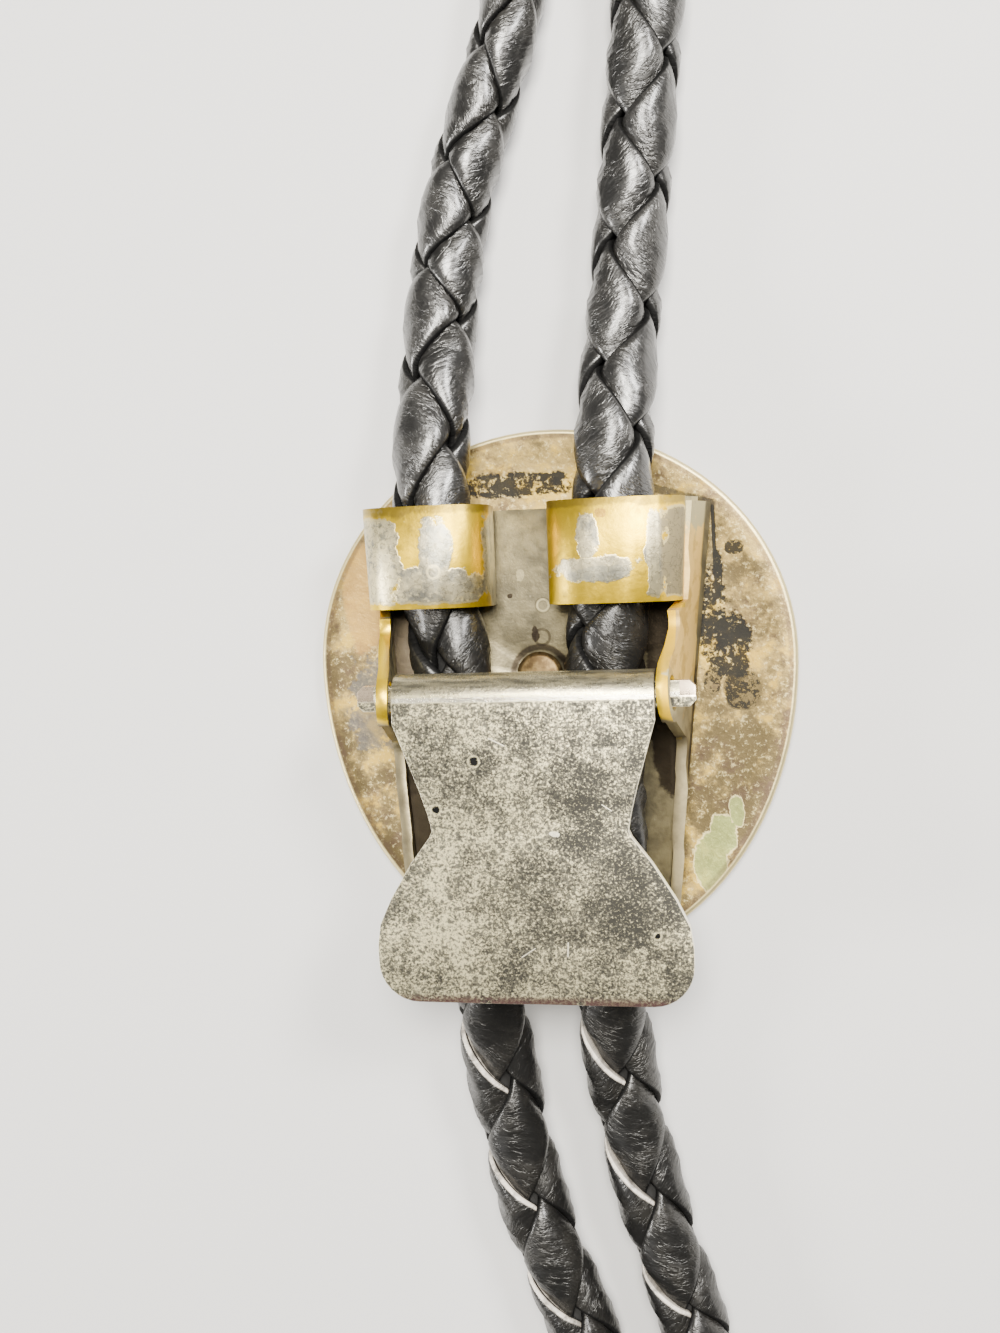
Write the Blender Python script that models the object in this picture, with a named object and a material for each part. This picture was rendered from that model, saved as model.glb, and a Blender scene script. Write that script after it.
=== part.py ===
"""Bolo tie lying on its face: a dished slide plate, a sheet clip with two cord loops and a
cam lever, and one leather cord with metal tips.

Metres, +Z up. The plate's flat front rests on z = 0, +Y runs towards the neck loop and
+X is the right of somebody who looks down on the back.
"""

import math

import bmesh
import bpy
from mathutils import Matrix, Vector

MM = 0.001

# Clearances
GAP = 0.3 * MM
PIVOT_GAP = 0.28 * MM

# Slide plate
PLATE_X = -0.3 * MM
PLATE_HALF_WIDTH = 17.2 * MM
PLATE_TOP = 16.3 * MM
PLATE_BOTTOM = 21.8 * MM
PLATE_SHEET = 0.8 * MM
DISH_RISE = 0.6 * MM
DISH_FLAT_SHARE = 0.62

# Cord
CORD_RADIUS = 2.4 * MM
TUBE_STEP = 8.0 * MM

# Clip body, in the clip's own frame, whose centre line is CLIP_X; its two sides differ a little
CLIP_X = -1.0 * MM
SHEET = 0.75 * MM
BASE_TOP_Y = 10.7 * MM
BASE_BOTTOM_Y = -17.6 * MM
BASE_HALF_TOP = 12.2 * MM
LEFT_HALF_BOTTOM = 10.1 * MM
RIGHT_HALF_BOTTOM = 9.2 * MM
LEFT_HALF_BROW = 10.1 * MM
RIGHT_HALF_BROW = 9.95 * MM
LOOP_LENGTH = 6.9 * MM
LOOP_OVERHANG = 0.3 * MM
LEFT_LOOP_BULGE = 0.35 * MM
RIGHT_LOOP_BULGE = -0.4 * MM
LEFT_LOOP_END = 2.7 * MM
RIGHT_LOOP_END = 1.3 * MM
LOOP_SQUARENESS_POWER = 2.7
FLANGE_HEIGHT = 1.2 * MM
FLANGE_START_Y = -5.2 * MM
WALL_DIP = 0.9 * MM
DIP_Y = 2.9 * MM
WALL_FILLET = 1.1 * MM
LOOP_TUCK = 0.25 * MM

# Lever
PIVOT_Y = -1.8 * MM
BARREL_RADIUS = 1.6 * MM
BARREL_WRAP_DEG = 150.0
LEVER_TAIL_Y = -22.05 * MM
LEVER_HALF_WAIST = 6.5 * MM
LEVER_WAIST_Y = -10.5 * MM
LEVER_HALF_TAIL = 10.5 * MM
LEVER_TAIL_WIDEST_Y = -18.2 * MM
LEVER_CORNER = 2.7 * MM
LEVER_SHIFT = 0.25 * MM
EAR_LENGTH = 1.4 * MM
EAR_THICKNESS = 0.7 * MM
EAR_CORNER = 0.4 * MM
LUG_RING = 0.7 * MM

# Rivet
RIVET_Y = -0.95 * MM
RIVET_SHANK = 0.9 * MM
RIVET_HEAD = 1.7 * MM
RIVET_HEAD_HEIGHT = 0.4 * MM
RIVET_SEAT = 2.0 * MM

# Cord tips
TIP_RADIUS = 2.95 * MM
TIP_LENGTH = 25.0 * MM
TIP_BORE_DEPTH = 4.5 * MM
TIP_COLLAR = 0.25 * MM
TIP_COLLAR_LENGTH = 1.2 * MM
TIP_COLLAR_TAPER = 0.4 * MM
TIP_NOSE = 2.0 * MM

# Heights that follow from the sizes above
PLATE_BACK_Z = PLATE_SHEET
RIM_Z = PLATE_SHEET + DISH_RISE
BASE_Z = RIM_Z + GAP
BASE_TOP_Z = BASE_Z + SHEET
LOOP_Y = (BASE_TOP_Y + LOOP_OVERHANG - LOOP_LENGTH, BASE_TOP_Y + LOOP_OVERHANG)
CORD_Z = BASE_TOP_Z + GAP + CORD_RADIUS
LOOP_RADIUS = CORD_RADIUS + GAP + SHEET
LOOP_TOP_Z = CORD_Z + LOOP_RADIUS
PIVOT_Z = CORD_Z + CORD_RADIUS + GAP + BARREL_RADIUS
LEVER_TOP_Z = PIVOT_Z + BARREL_RADIUS
EAR_WIDTH = 2 * (BARREL_RADIUS - SHEET)
EAR_REACH = math.hypot(EAR_WIDTH / 2, EAR_THICKNESS / 2)
PIVOT_HOLE = EAR_REACH + PIVOT_GAP
LUG_RADIUS = PIVOT_HOLE + LUG_RING
LUG_TOP_Z = PIVOT_Z + LUG_RADIUS
TIP_Z = TIP_RADIUS + TIP_COLLAR
FLOOR_Z = CORD_RADIUS + 0.05 * MM

# The cord's route: from the mouth of the left tip, up under the clip, round the neck loop
# and back down to the mouth of the right tip (x, y, z of its centre line)
CORD_ROUTE = [
    (0.0034, -0.0710, TIP_Z),
    (0.0034, -0.0650, TIP_Z),
    (0.0034, -0.0595, TIP_Z),
    (0.0029, -0.0550, 0.0029),
    (0.0018, -0.0520, 0.0026),
    (0.0004, -0.0485, FLOOR_Z),
    (-0.0015, -0.0435, FLOOR_Z),
    (-0.0030, -0.0388, FLOOR_Z),
    (-0.0044, -0.0318, 0.0027),
    (-0.0050, -0.0262, 0.0038),
    (-0.0052, -0.0225, 0.0047),
    (-0.0055, -0.0170, CORD_Z),
    (-0.0060, -0.0090, CORD_Z),
    (-0.0068, 0.0000, CORD_Z),
    (-0.0075, 0.0055, CORD_Z),
    (-0.0078, 0.0115, CORD_Z),
    (-0.0077, 0.0160, 0.0046),
    (-0.0074, 0.0208, 0.0033),
    (-0.0070, 0.0255, 0.0026),
    (-0.0057, 0.0323, FLOOR_Z),
    (-0.0035, 0.0389, FLOOR_Z),
    (-0.0013, 0.0456, FLOOR_Z),
    (-0.0004, 0.0550, FLOOR_Z),
    (-0.0015, 0.0700, FLOOR_Z),
    (-0.0034, 0.0870, FLOOR_Z),
    (-0.0052, 0.1060, FLOOR_Z),
    (-0.0070, 0.1260, FLOOR_Z),
    (-0.0088, 0.1440, FLOOR_Z),
    (-0.0099, 0.1590, FLOOR_Z),
    (-0.0093, 0.1705, FLOOR_Z),
    (-0.0061, 0.1792, FLOOR_Z),
    (0.0002, 0.1830, FLOOR_Z),
    (0.0067, 0.1799, FLOOR_Z),
    (0.0105, 0.1715, FLOOR_Z),
    (0.0118, 0.1590, FLOOR_Z),
    (0.0120, 0.1440, FLOOR_Z),
    (0.0116, 0.1260, FLOOR_Z),
    (0.0110, 0.1060, FLOOR_Z),
    (0.0102, 0.0870, FLOOR_Z),
    (0.0095, 0.0700, FLOOR_Z),
    (0.0087, 0.0550, FLOOR_Z),
    (0.0079, 0.0446, FLOOR_Z),
    (0.0072, 0.0379, FLOOR_Z),
    (0.0065, 0.0313, FLOOR_Z),
    (0.0058, 0.0250, 0.0026),
    (0.0053, 0.0205, 0.0033),
    (0.0050, 0.0160, 0.0046),
    (0.0048, 0.0115, CORD_Z),
    (0.0045, 0.0055, CORD_Z),
    (0.0039, 0.0000, CORD_Z),
    (0.0036, -0.0090, CORD_Z),
    (0.0034, -0.0170, CORD_Z),
    (0.0034, -0.0225, 0.0047),
    (0.0037, -0.0262, 0.0038),
    (0.0043, -0.0318, 0.0027),
    (0.0058, -0.0388, FLOOR_Z),
    (0.0073, -0.0440, FLOOR_Z),
    (0.0089, -0.0490, FLOOR_Z),
    (0.0101, -0.0525, 0.0026),
    (0.0109, -0.0555, 0.0029),
    (0.0115, -0.0600, TIP_Z),
    (0.0115, -0.0655, TIP_Z),
    (0.0115, -0.0715, TIP_Z),
]

# Colours as base colour, roughness and metallic value
FINISHES = {
    "plate_metal": ((0.40, 0.33, 0.22), 0.42, 1.0),
    "clip_metal": ((0.52, 0.47, 0.36), 0.38, 1.0),
    "brass": ((0.55, 0.42, 0.20), 0.35, 1.0),
    "lever_metal": ((0.42, 0.40, 0.36), 0.45, 1.0),
    "leather": ((0.02, 0.02, 0.021), 0.38, 0.0),
    "tip_metal": ((0.62, 0.61, 0.58), 0.30, 1.0),
}


def clear_scene():
    """Remove what the new file starts with."""
    for item in list(bpy.data.objects):
        bpy.data.objects.remove(item, do_unlink=True)


def finish(name):
    """The Principled material of that name, made once."""
    material = bpy.data.materials.get(name)
    if material is None:
        colour, rough, metal = FINISHES[name]
        material = bpy.data.materials.new(name)
        material.use_nodes = True
        shader = material.node_tree.nodes["Principled BSDF"]
        shader.inputs["Base Color"].default_value = (*colour, 1.0)
        shader.inputs["Roughness"].default_value = rough
        shader.inputs["Metallic"].default_value = metal
    return material


def add_object(name, bm, material):
    """Turn a bmesh into a shaded object with one material."""
    bmesh.ops.recalc_face_normals(bm, faces=bm.faces)
    mesh = bpy.data.meshes.new(name)
    bm.to_mesh(mesh)
    bm.free()
    mesh.shade_smooth()
    mesh.set_sharp_from_angle(angle=math.radians(32))
    item = bpy.data.objects.new(name, mesh)
    bpy.context.scene.collection.objects.link(item)
    mesh.materials.append(finish(material))
    return item


def loft(sections, axis):
    """A bmesh solid of triangles through outlines of as many points: (place on the axis, outline)."""
    bm = bmesh.new()
    place = {
        "X": lambda a, b, t: (t, a, b),
        "Y": lambda a, b, t: (a, t, b),
        "Z": lambda a, b, t: (a, b, t),
    }[axis]
    rows = [[bm.verts.new(place(a, b, at)) for a, b in outline] for at, outline in sections]
    bm.faces.new(rows[0])
    bm.faces.new(rows[-1])
    for near, far in zip(rows, rows[1:]):
        for i in range(len(near)):
            j = (i + 1) % len(near)
            bm.faces.new((near[i], near[j], far[j], far[i]))
    bmesh.ops.recalc_face_normals(bm, faces=bm.faces)
    bmesh.ops.triangulate(bm, faces=bm.faces)
    return bm


def prism(outline, axis, start, end):
    """A bmesh prism: a 2-D outline extruded along X (y, z), Y (x, z) or Z (x, y)."""
    return loft([(start, outline), (end, outline)], axis)


def steps_between(start, end, count):
    """Evenly spaced places from one to another, both included."""
    return [start + (end - start) * i / count for i in range(count + 1)]


def cutter(name, bm):
    """A hidden solid that a Boolean uses."""
    item = add_object(name, bm, "clip_metal")
    item.hide_render = True
    item.display_type = "WIRE"
    return item


def boolean(item, other, operation):
    """Add an exact Boolean of another object to this one."""
    modifier = item.modifiers.new(operation.lower() + "_" + other.name, "BOOLEAN")
    modifier.operation = operation
    modifier.solver = "EXACT"
    modifier.object = other


def bake(item):
    """Replace an object's mesh by what its modifiers make, cleaned and shaded."""
    graph = bpy.context.evaluated_depsgraph_get()
    mesh = bpy.data.meshes.new_from_object(item.evaluated_get(graph))
    item.modifiers.clear()
    item.data = mesh
    bm = bmesh.new()
    bm.from_mesh(mesh)
    bmesh.ops.remove_doubles(bm, verts=bm.verts, dist=0.00001)
    bmesh.ops.dissolve_limit(bm, angle_limit=math.radians(0.6), verts=bm.verts, edges=bm.edges)
    bm.to_mesh(mesh)
    bm.free()
    mesh.shade_smooth()
    mesh.set_sharp_from_angle(angle=math.radians(32))


def arc(centre, radius, first_deg, last_deg, steps):
    """Points of a circular arc in a plane."""
    span = last_deg - first_deg
    turns = [math.radians(first_deg + span * i / steps) for i in range(steps + 1)]
    return [(centre[0] + radius * math.cos(t), centre[1] + radius * math.sin(t)) for t in turns]


def turned(profile, sides, place):
    """A solid of revolution from (radius, height) points that start and end on its axis."""
    bm = bmesh.new()
    rings = []
    for radius, height in profile:
        if radius < 1e-9:
            rings.append([bm.verts.new((0.0, 0.0, height))])
        else:
            ring = []
            for k in range(sides):
                turn = 2 * math.pi * k / sides
                ring.append(bm.verts.new((radius * math.cos(turn), radius * math.sin(turn), height)))
            rings.append(ring)
    for lower, upper in zip(rings, rings[1:]):
        for k in range(sides):
            j = (k + 1) % sides
            if len(lower) == 1:
                bm.faces.new((lower[0], upper[j], upper[k]))
            elif len(upper) == 1:
                bm.faces.new((lower[k], lower[j], upper[0]))
            else:
                bm.faces.new((lower[k], lower[j], upper[j], upper[k]))
    bmesh.ops.transform(bm, matrix=place, verts=bm.verts)
    return bm


def egg(share, turn):
    """A point of the plate's outline: round at the top, longer at the bottom."""
    reach = PLATE_TOP if math.sin(turn) >= 0 else PLATE_BOTTOM
    return PLATE_X + share * PLATE_HALF_WIDTH * math.cos(turn), share * reach * math.sin(turn)


def dish(share):
    """How far the plate has risen at a share of its radius."""
    beyond = max(0.0, (share - DISH_FLAT_SHARE) / (1 - DISH_FLAT_SHARE))
    return DISH_RISE * beyond * beyond


def build_plate():
    """The slide's plate, flat in the middle of its front, with a rounded rim."""
    sides = 96
    shares = [0.3, DISH_FLAT_SHARE, 0.72, 0.82, 0.91, 1 - 0.25 * PLATE_SHEET / PLATE_HALF_WIDTH]
    bm = bmesh.new()
    rows = []
    section = [(s, dish(s)) for s in shares]
    section.append((1.0, dish(1.0) + 0.3 * PLATE_SHEET))
    section.append((1.0, dish(1.0) + 0.7 * PLATE_SHEET))
    section += [(s, dish(s) + PLATE_SHEET) for s in reversed(shares)]
    for share, height in section:
        row = []
        for k in range(sides):
            x, y = egg(share, 2 * math.pi * (k + 0.5) / sides)
            row.append(bm.verts.new((x, y, height)))
        rows.append(row)
    for lower, upper in zip(rows, rows[1:]):
        for k in range(sides):
            j = (k + 1) % sides
            bm.faces.new((lower[k], lower[j], upper[j], upper[k]))
    bm.faces.new(list(reversed(rows[0])))
    bm.faces.new(rows[-1])
    return add_object("slide_plate", bm, "plate_metal")


def base_half(side, y):
    """Half the width of the clip's base at a place along it, on its left (-1) or right (1)."""
    bottom = RIGHT_HALF_BOTTOM if side > 0 else LEFT_HALF_BOTTOM
    along = (y - BASE_BOTTOM_Y) / (BASE_TOP_Y - BASE_BOTTOM_Y)
    return bottom + along * (BASE_HALF_TOP - bottom)


def wall_outer(side, y, z):
    """Distance of a wall's outer face from the clip's centre line; it leans in as it rises."""
    foot = base_half(side, y)
    brow = RIGHT_HALF_BROW if side > 0 else LEFT_HALF_BROW
    rise = (z - BASE_Z) / (LOOP_TOP_Z - BASE_Z)
    return foot - (foot - brow) * rise


def channel_section(y):
    """The clip's section in x and z: the base with both walls at full height."""
    top = LUG_TOP_Z + SHEET
    right, left = (
        [
            (side * wall_outer(side, y, BASE_Z), BASE_Z),
            (side * wall_outer(side, y, top), top),
            (side * (wall_outer(side, y, top) - SHEET), top),
            (side * (wall_outer(side, y, BASE_TOP_Z) - SHEET), BASE_TOP_Z),
        ]
        for side in (1, -1)
    )
    return [(CLIP_X + x, z) for x, z in right + left[::-1]]


def wall_profile():
    """What is cut off above the walls, in y and z: a dip, the lug's round top, the low flange."""
    dip_z = LOOP_TOP_Z - SHEET - WALL_DIP
    flange_z = BASE_TOP_Z + FLANGE_HEIGHT
    high = LUG_TOP_Z + 2 * SHEET
    points = [(BASE_TOP_Y + SHEET, high), (BASE_TOP_Y + SHEET, CORD_Z), (LOOP_Y[0], CORD_Z)]
    points += arc((DIP_Y, dip_z + WALL_FILLET), WALL_FILLET, 300, 235, 4)
    points += arc((PIVOT_Y, PIVOT_Z), LUG_RADIUS, 40, 190, 14)
    points += arc((FLANGE_START_Y - WALL_FILLET, flange_z + WALL_FILLET), WALL_FILLET, 0, -90, 5)
    points += [(BASE_BOTTOM_Y - SHEET, flange_z), (BASE_BOTTOM_Y - SHEET, high)]
    return points


def square_round(centre, half_width, height, first_deg, last_deg, steps):
    """An arch between an ellipse and a rectangle, in x and z."""
    power = 2 / LOOP_SQUARENESS_POWER
    points = []
    for x, z in arc((0, 0), 1, first_deg, last_deg, steps):
        across = math.copysign(abs(x) ** power, x)
        points.append((centre + half_width * across, CORD_Z + height * abs(z) ** power))
    return points


def loop_section(side, y):
    """The section of one loop in x and z: up from the wall, over the cord, down inside."""
    bulge, inner_end = (RIGHT_LOOP_BULGE, RIGHT_LOOP_END) if side > 0 else (LEFT_LOOP_BULGE, LEFT_LOOP_END)
    foot_z = CORD_Z - 2 * SHEET
    foot = wall_outer(side, y, foot_z) - SHEET / 4
    outer_x = wall_outer(side, y, CORD_Z) + bulge
    half = (outer_x - inner_end) / 2
    centre = outer_x - half
    end_z = BASE_TOP_Z + GAP
    outline = [(foot, foot_z)]
    outline += square_round(centre, half, LOOP_RADIUS, 0, 180, 24)
    outline += [(inner_end + LOOP_TUCK, end_z), (inner_end + LOOP_TUCK + SHEET, end_z)]
    outline += square_round(centre, half - SHEET, LOOP_RADIUS - SHEET, 180, 0, 24)
    outline += [(foot - SHEET / 2, foot_z)]
    return [(CLIP_X + side * x, z) for x, z in outline]


def build_clip():
    """The clip's body: base, walls with pivot lugs, low flanges and two curled loops."""
    channel = [(y, channel_section(y)) for y in steps_between(BASE_BOTTOM_Y, BASE_TOP_Y, 6)]
    body = add_object("clip_body", loft(channel, "Y"), "clip_metal")
    reach = (CLIP_X - 2 * BASE_HALF_TOP, CLIP_X + 2 * BASE_HALF_TOP)
    boolean(body, cutter("wall_cutter", prism(wall_profile(), "X", *reach)), "DIFFERENCE")
    hole = prism(arc((PIVOT_Y, PIVOT_Z), PIVOT_HOLE, 0, 345, 23), "X", *reach)
    boolean(body, cutter("pivot_cutter", hole), "DIFFERENCE")
    rivet_hole = prism(arc((CLIP_X, RIVET_Y), RIVET_SHANK + GAP, 0, 345, 23), "Z", 0, CORD_Z)
    boolean(body, cutter("rivet_cutter", rivet_hole), "DIFFERENCE")
    for name, side in (("left_loop_form", -1), ("right_loop_form", 1)):
        loop = [(y, loop_section(side, y)) for y in steps_between(*LOOP_Y, 2)]
        boolean(body, cutter(name, loft(loop, "Y")), "UNION")
    bake(body)
    return body


def lever_half_top(side):
    """Half the width of the lever's rolled end, which fits between the lugs."""
    return wall_outer(side, PIVOT_Y - LUG_RADIUS, LEVER_TOP_Z) - SHEET - GAP


def lever_side(side):
    """One side of the lever's outline in x and y, from its nose to its tail."""
    nose_y = PIVOT_Y + BARREL_RADIUS + GAP
    top = (lever_half_top(side), PIVOT_Y - BARREL_RADIUS)
    waist = (LEVER_HALF_WAIST + side * LEVER_SHIFT, LEVER_WAIST_Y)
    wide = (LEVER_HALF_TAIL + side * LEVER_SHIFT, LEVER_TAIL_WIDEST_Y)
    points = [(top[0], nose_y), top]
    for share, push in ((0.3, 0.33), (0.6, 0.66), (0.85, 0.9)):
        points.append((top[0] + (waist[0] - top[0]) * push, top[1] + (waist[1] - top[1]) * share))
    points.append(waist)
    for share, push in ((0.06, 0.05), (0.28, 0.37), (0.59, 0.74), (0.82, 0.95)):
        x = waist[0] + (wide[0] - waist[0]) * push
        points.append((x, waist[1] + (wide[1] - waist[1]) * share))
    points.append(wide)
    corner_x = wide[0] - LEVER_CORNER
    corner_y = LEVER_TAIL_Y + LEVER_CORNER
    points += arc((corner_x, corner_y), LEVER_CORNER, 0, -90, 8)
    return [(CLIP_X + side * x, y) for x, y in points]


def lever_section():
    """The lever's bent sheet in y and z: flat tail, then rolled round the pivot."""
    outer = arc((PIVOT_Y, PIVOT_Z), BARREL_RADIUS, 90, 90 - BARREL_WRAP_DEG, 14)
    inner = arc((PIVOT_Y, PIVOT_Z), BARREL_RADIUS - SHEET, 90 - BARREL_WRAP_DEG, 90, 14)
    tail = LEVER_TAIL_Y - SHEET
    return [(tail, LEVER_TOP_Z)] + outer + inner + [(tail, LEVER_TOP_Z - SHEET)]


def ear_outline(side):
    """One ear in x and y, from inside the rolled end to its rounded tip."""
    root = lever_half_top(side) - BARREL_RADIUS
    tip = wall_outer(side, PIVOT_Y, PIVOT_Z) + EAR_LENGTH
    half = EAR_WIDTH / 2
    outline = [(root, -half), (tip - EAR_CORNER, -half), (tip, EAR_CORNER - half)]
    outline += [(tip, half - EAR_CORNER), (tip - EAR_CORNER, half), (root, half)]
    return [(CLIP_X + side * x, PIVOT_Y + y) for x, y in outline]


def build_lever():
    """The cam lever: an hourglass stamping with a rolled end and two ears, origin on its pivot."""
    wide = LEVER_HALF_TAIL + SHEET
    bm = prism(lever_section(), "X", CLIP_X - wide, CLIP_X + wide)
    lever = add_object("clip_lever", bm, "lever_metal")
    outline = lever_side(1) + lever_side(-1)[::-1]
    mould = cutter("lever_form", prism(outline, "Z", 0, LEVER_TOP_Z + SHEET))
    boolean(lever, mould, "INTERSECT")
    heights = (PIVOT_Z - EAR_THICKNESS / 2, PIVOT_Z + EAR_THICKNESS / 2)
    for name, side in (("left_ear_form", -1), ("right_ear_form", 1)):
        boolean(lever, cutter(name, prism(ear_outline(side), "Z", *heights)), "UNION")
    bake(lever)
    pivot = Vector((CLIP_X, PIVOT_Y, PIVOT_Z))
    lever.data.transform(Matrix.Translation(-pivot))
    lever.location = pivot
    return lever


def build_rivet():
    """The rivet that holds the clip on the plate: seat, shank and low domed head."""
    foot_z = PLATE_BACK_Z + GAP
    head_z = BASE_TOP_Z + GAP
    profile = [(0.0, foot_z), (RIVET_SEAT, foot_z), (RIVET_SEAT, BASE_Z - GAP), (RIVET_SHANK, BASE_Z - GAP)]
    profile += [(RIVET_SHANK, head_z), (RIVET_HEAD, head_z)]
    profile += [(RIVET_HEAD * 0.8, head_z + RIVET_HEAD_HEIGHT * 0.75), (0.0, head_z + RIVET_HEAD_HEIGHT)]
    place = Matrix.Translation((CLIP_X, RIVET_Y, 0.0))
    return add_object("clip_rivet", turned(profile, 24, place), "brass")


def smooth_route(points, step):
    """Points along a smooth curve through the route, evenly spaced."""
    nodes = [Vector(p) for p in points]
    nodes = [2 * nodes[0] - nodes[1]] + nodes + [2 * nodes[-1] - nodes[-2]]
    fine = []
    for a, b, c, d in zip(nodes, nodes[1:], nodes[2:], nodes[3:]):
        for k in range(40):
            t = k / 40
            fine.append(0.5 * (2 * b + (c - a) * t + (2 * a - 5 * b + 4 * c - d) * t ** 2
                               + (3 * b - a - 3 * c + d) * t ** 3))
    fine.append(nodes[-2])
    walked = [0.0]
    for p, q in zip(fine, fine[1:]):
        walked.append(walked[-1] + (q - p).length)
    count = max(2, round(walked[-1] / step) + 1)
    picked = []
    at = 0
    for i in range(count):
        goal = walked[-1] * i / (count - 1)
        while at < len(fine) - 2 and walked[at + 1] < goal:
            at += 1
        share = (goal - walked[at]) / max(1e-12, walked[at + 1] - walked[at])
        place = fine[at].lerp(fine[at + 1], min(1.0, share))
        place.z = max(place.z, FLOOR_Z)
        picked.append(place)
    return picked


def build_cord():
    """The cord as one tube from tip to tip."""
    curve = bpy.data.curves.new("cord", "CURVE")
    curve.dimensions = "3D"
    curve.bevel_depth = CORD_RADIUS
    curve.bevel_resolution = 3
    curve.use_fill_caps = True
    route = smooth_route(CORD_ROUTE, TUBE_STEP)
    spline = curve.splines.new("POLY")
    spline.points.add(len(route) - 1)
    for point, place in zip(spline.points, route):
        point.co = (*place, 1.0)
    curve.materials.append(finish("leather"))
    item = bpy.data.objects.new("cord", curve)
    bpy.context.scene.collection.objects.link(item)
    return item


def build_tip(name, end, before):
    """A metal tip whose blind bore takes one end of the cord and which lies on the surface."""
    bore = CORD_RADIUS + GAP
    outer = TIP_RADIUS
    lip = TIP_RADIUS + TIP_COLLAR
    shaft = TIP_LENGTH - TIP_NOSE
    profile = [(0.0, TIP_BORE_DEPTH), (bore, TIP_BORE_DEPTH), (bore, 0.0), (lip, 0.0), (lip, TIP_COLLAR_LENGTH)]
    profile += [(outer, TIP_COLLAR_LENGTH + TIP_COLLAR_TAPER), (outer * 0.93, shaft)]
    profile += [(outer * 0.72, shaft + TIP_NOSE * 0.7), (outer * 0.35, TIP_LENGTH * 0.995)]
    profile += [(0.0, TIP_LENGTH)]
    way = (end - before).normalized()
    mouth = end - way * (TIP_BORE_DEPTH - GAP)
    place = Matrix.Translation(mouth) @ way.to_track_quat("Z", "Y").to_matrix().to_4x4()
    return add_object(name, turned(profile, 24, place), "tip_metal")


def main():
    clear_scene()
    build_plate()
    build_clip()
    build_rivet()
    build_lever()
    build_cord()
    route = [Vector(p) for p in CORD_ROUTE]
    build_tip("tip_left", route[0], route[1])
    build_tip("tip_right", route[-1], route[-2])


main()
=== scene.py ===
"""Looks of a bolo tie that lies on its face: worn slide plate, clip, cam lever and leather braid."""

from __future__ import annotations

import logging
import math
from dataclasses import dataclass, field
from enum import Enum

import bmesh
import bpy
from mathutils import Matrix, Vector

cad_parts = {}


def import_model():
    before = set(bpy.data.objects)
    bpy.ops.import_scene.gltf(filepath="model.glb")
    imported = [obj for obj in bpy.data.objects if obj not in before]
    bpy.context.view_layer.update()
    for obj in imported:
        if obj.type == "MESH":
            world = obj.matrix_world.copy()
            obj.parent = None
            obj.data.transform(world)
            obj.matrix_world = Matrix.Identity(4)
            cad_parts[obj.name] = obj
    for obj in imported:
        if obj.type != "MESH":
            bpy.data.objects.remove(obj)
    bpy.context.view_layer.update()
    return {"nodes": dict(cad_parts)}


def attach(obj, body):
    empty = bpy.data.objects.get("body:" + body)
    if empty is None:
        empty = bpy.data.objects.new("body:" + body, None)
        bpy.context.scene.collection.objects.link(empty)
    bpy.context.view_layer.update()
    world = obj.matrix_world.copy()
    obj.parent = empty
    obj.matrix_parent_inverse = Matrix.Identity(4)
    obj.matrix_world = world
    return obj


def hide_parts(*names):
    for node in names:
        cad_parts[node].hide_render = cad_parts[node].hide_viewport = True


MM = 0.001
LOG = logging.getLogger("bolo_tie")

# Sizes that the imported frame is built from
CORD_RADIUS = 2.4 * MM
CORD_Z = 5.15 * MM
TIP_Z = 3.2 * MM
FLOOR_Z = 2.45 * MM
CLIP_X = -1.0 * MM

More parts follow.
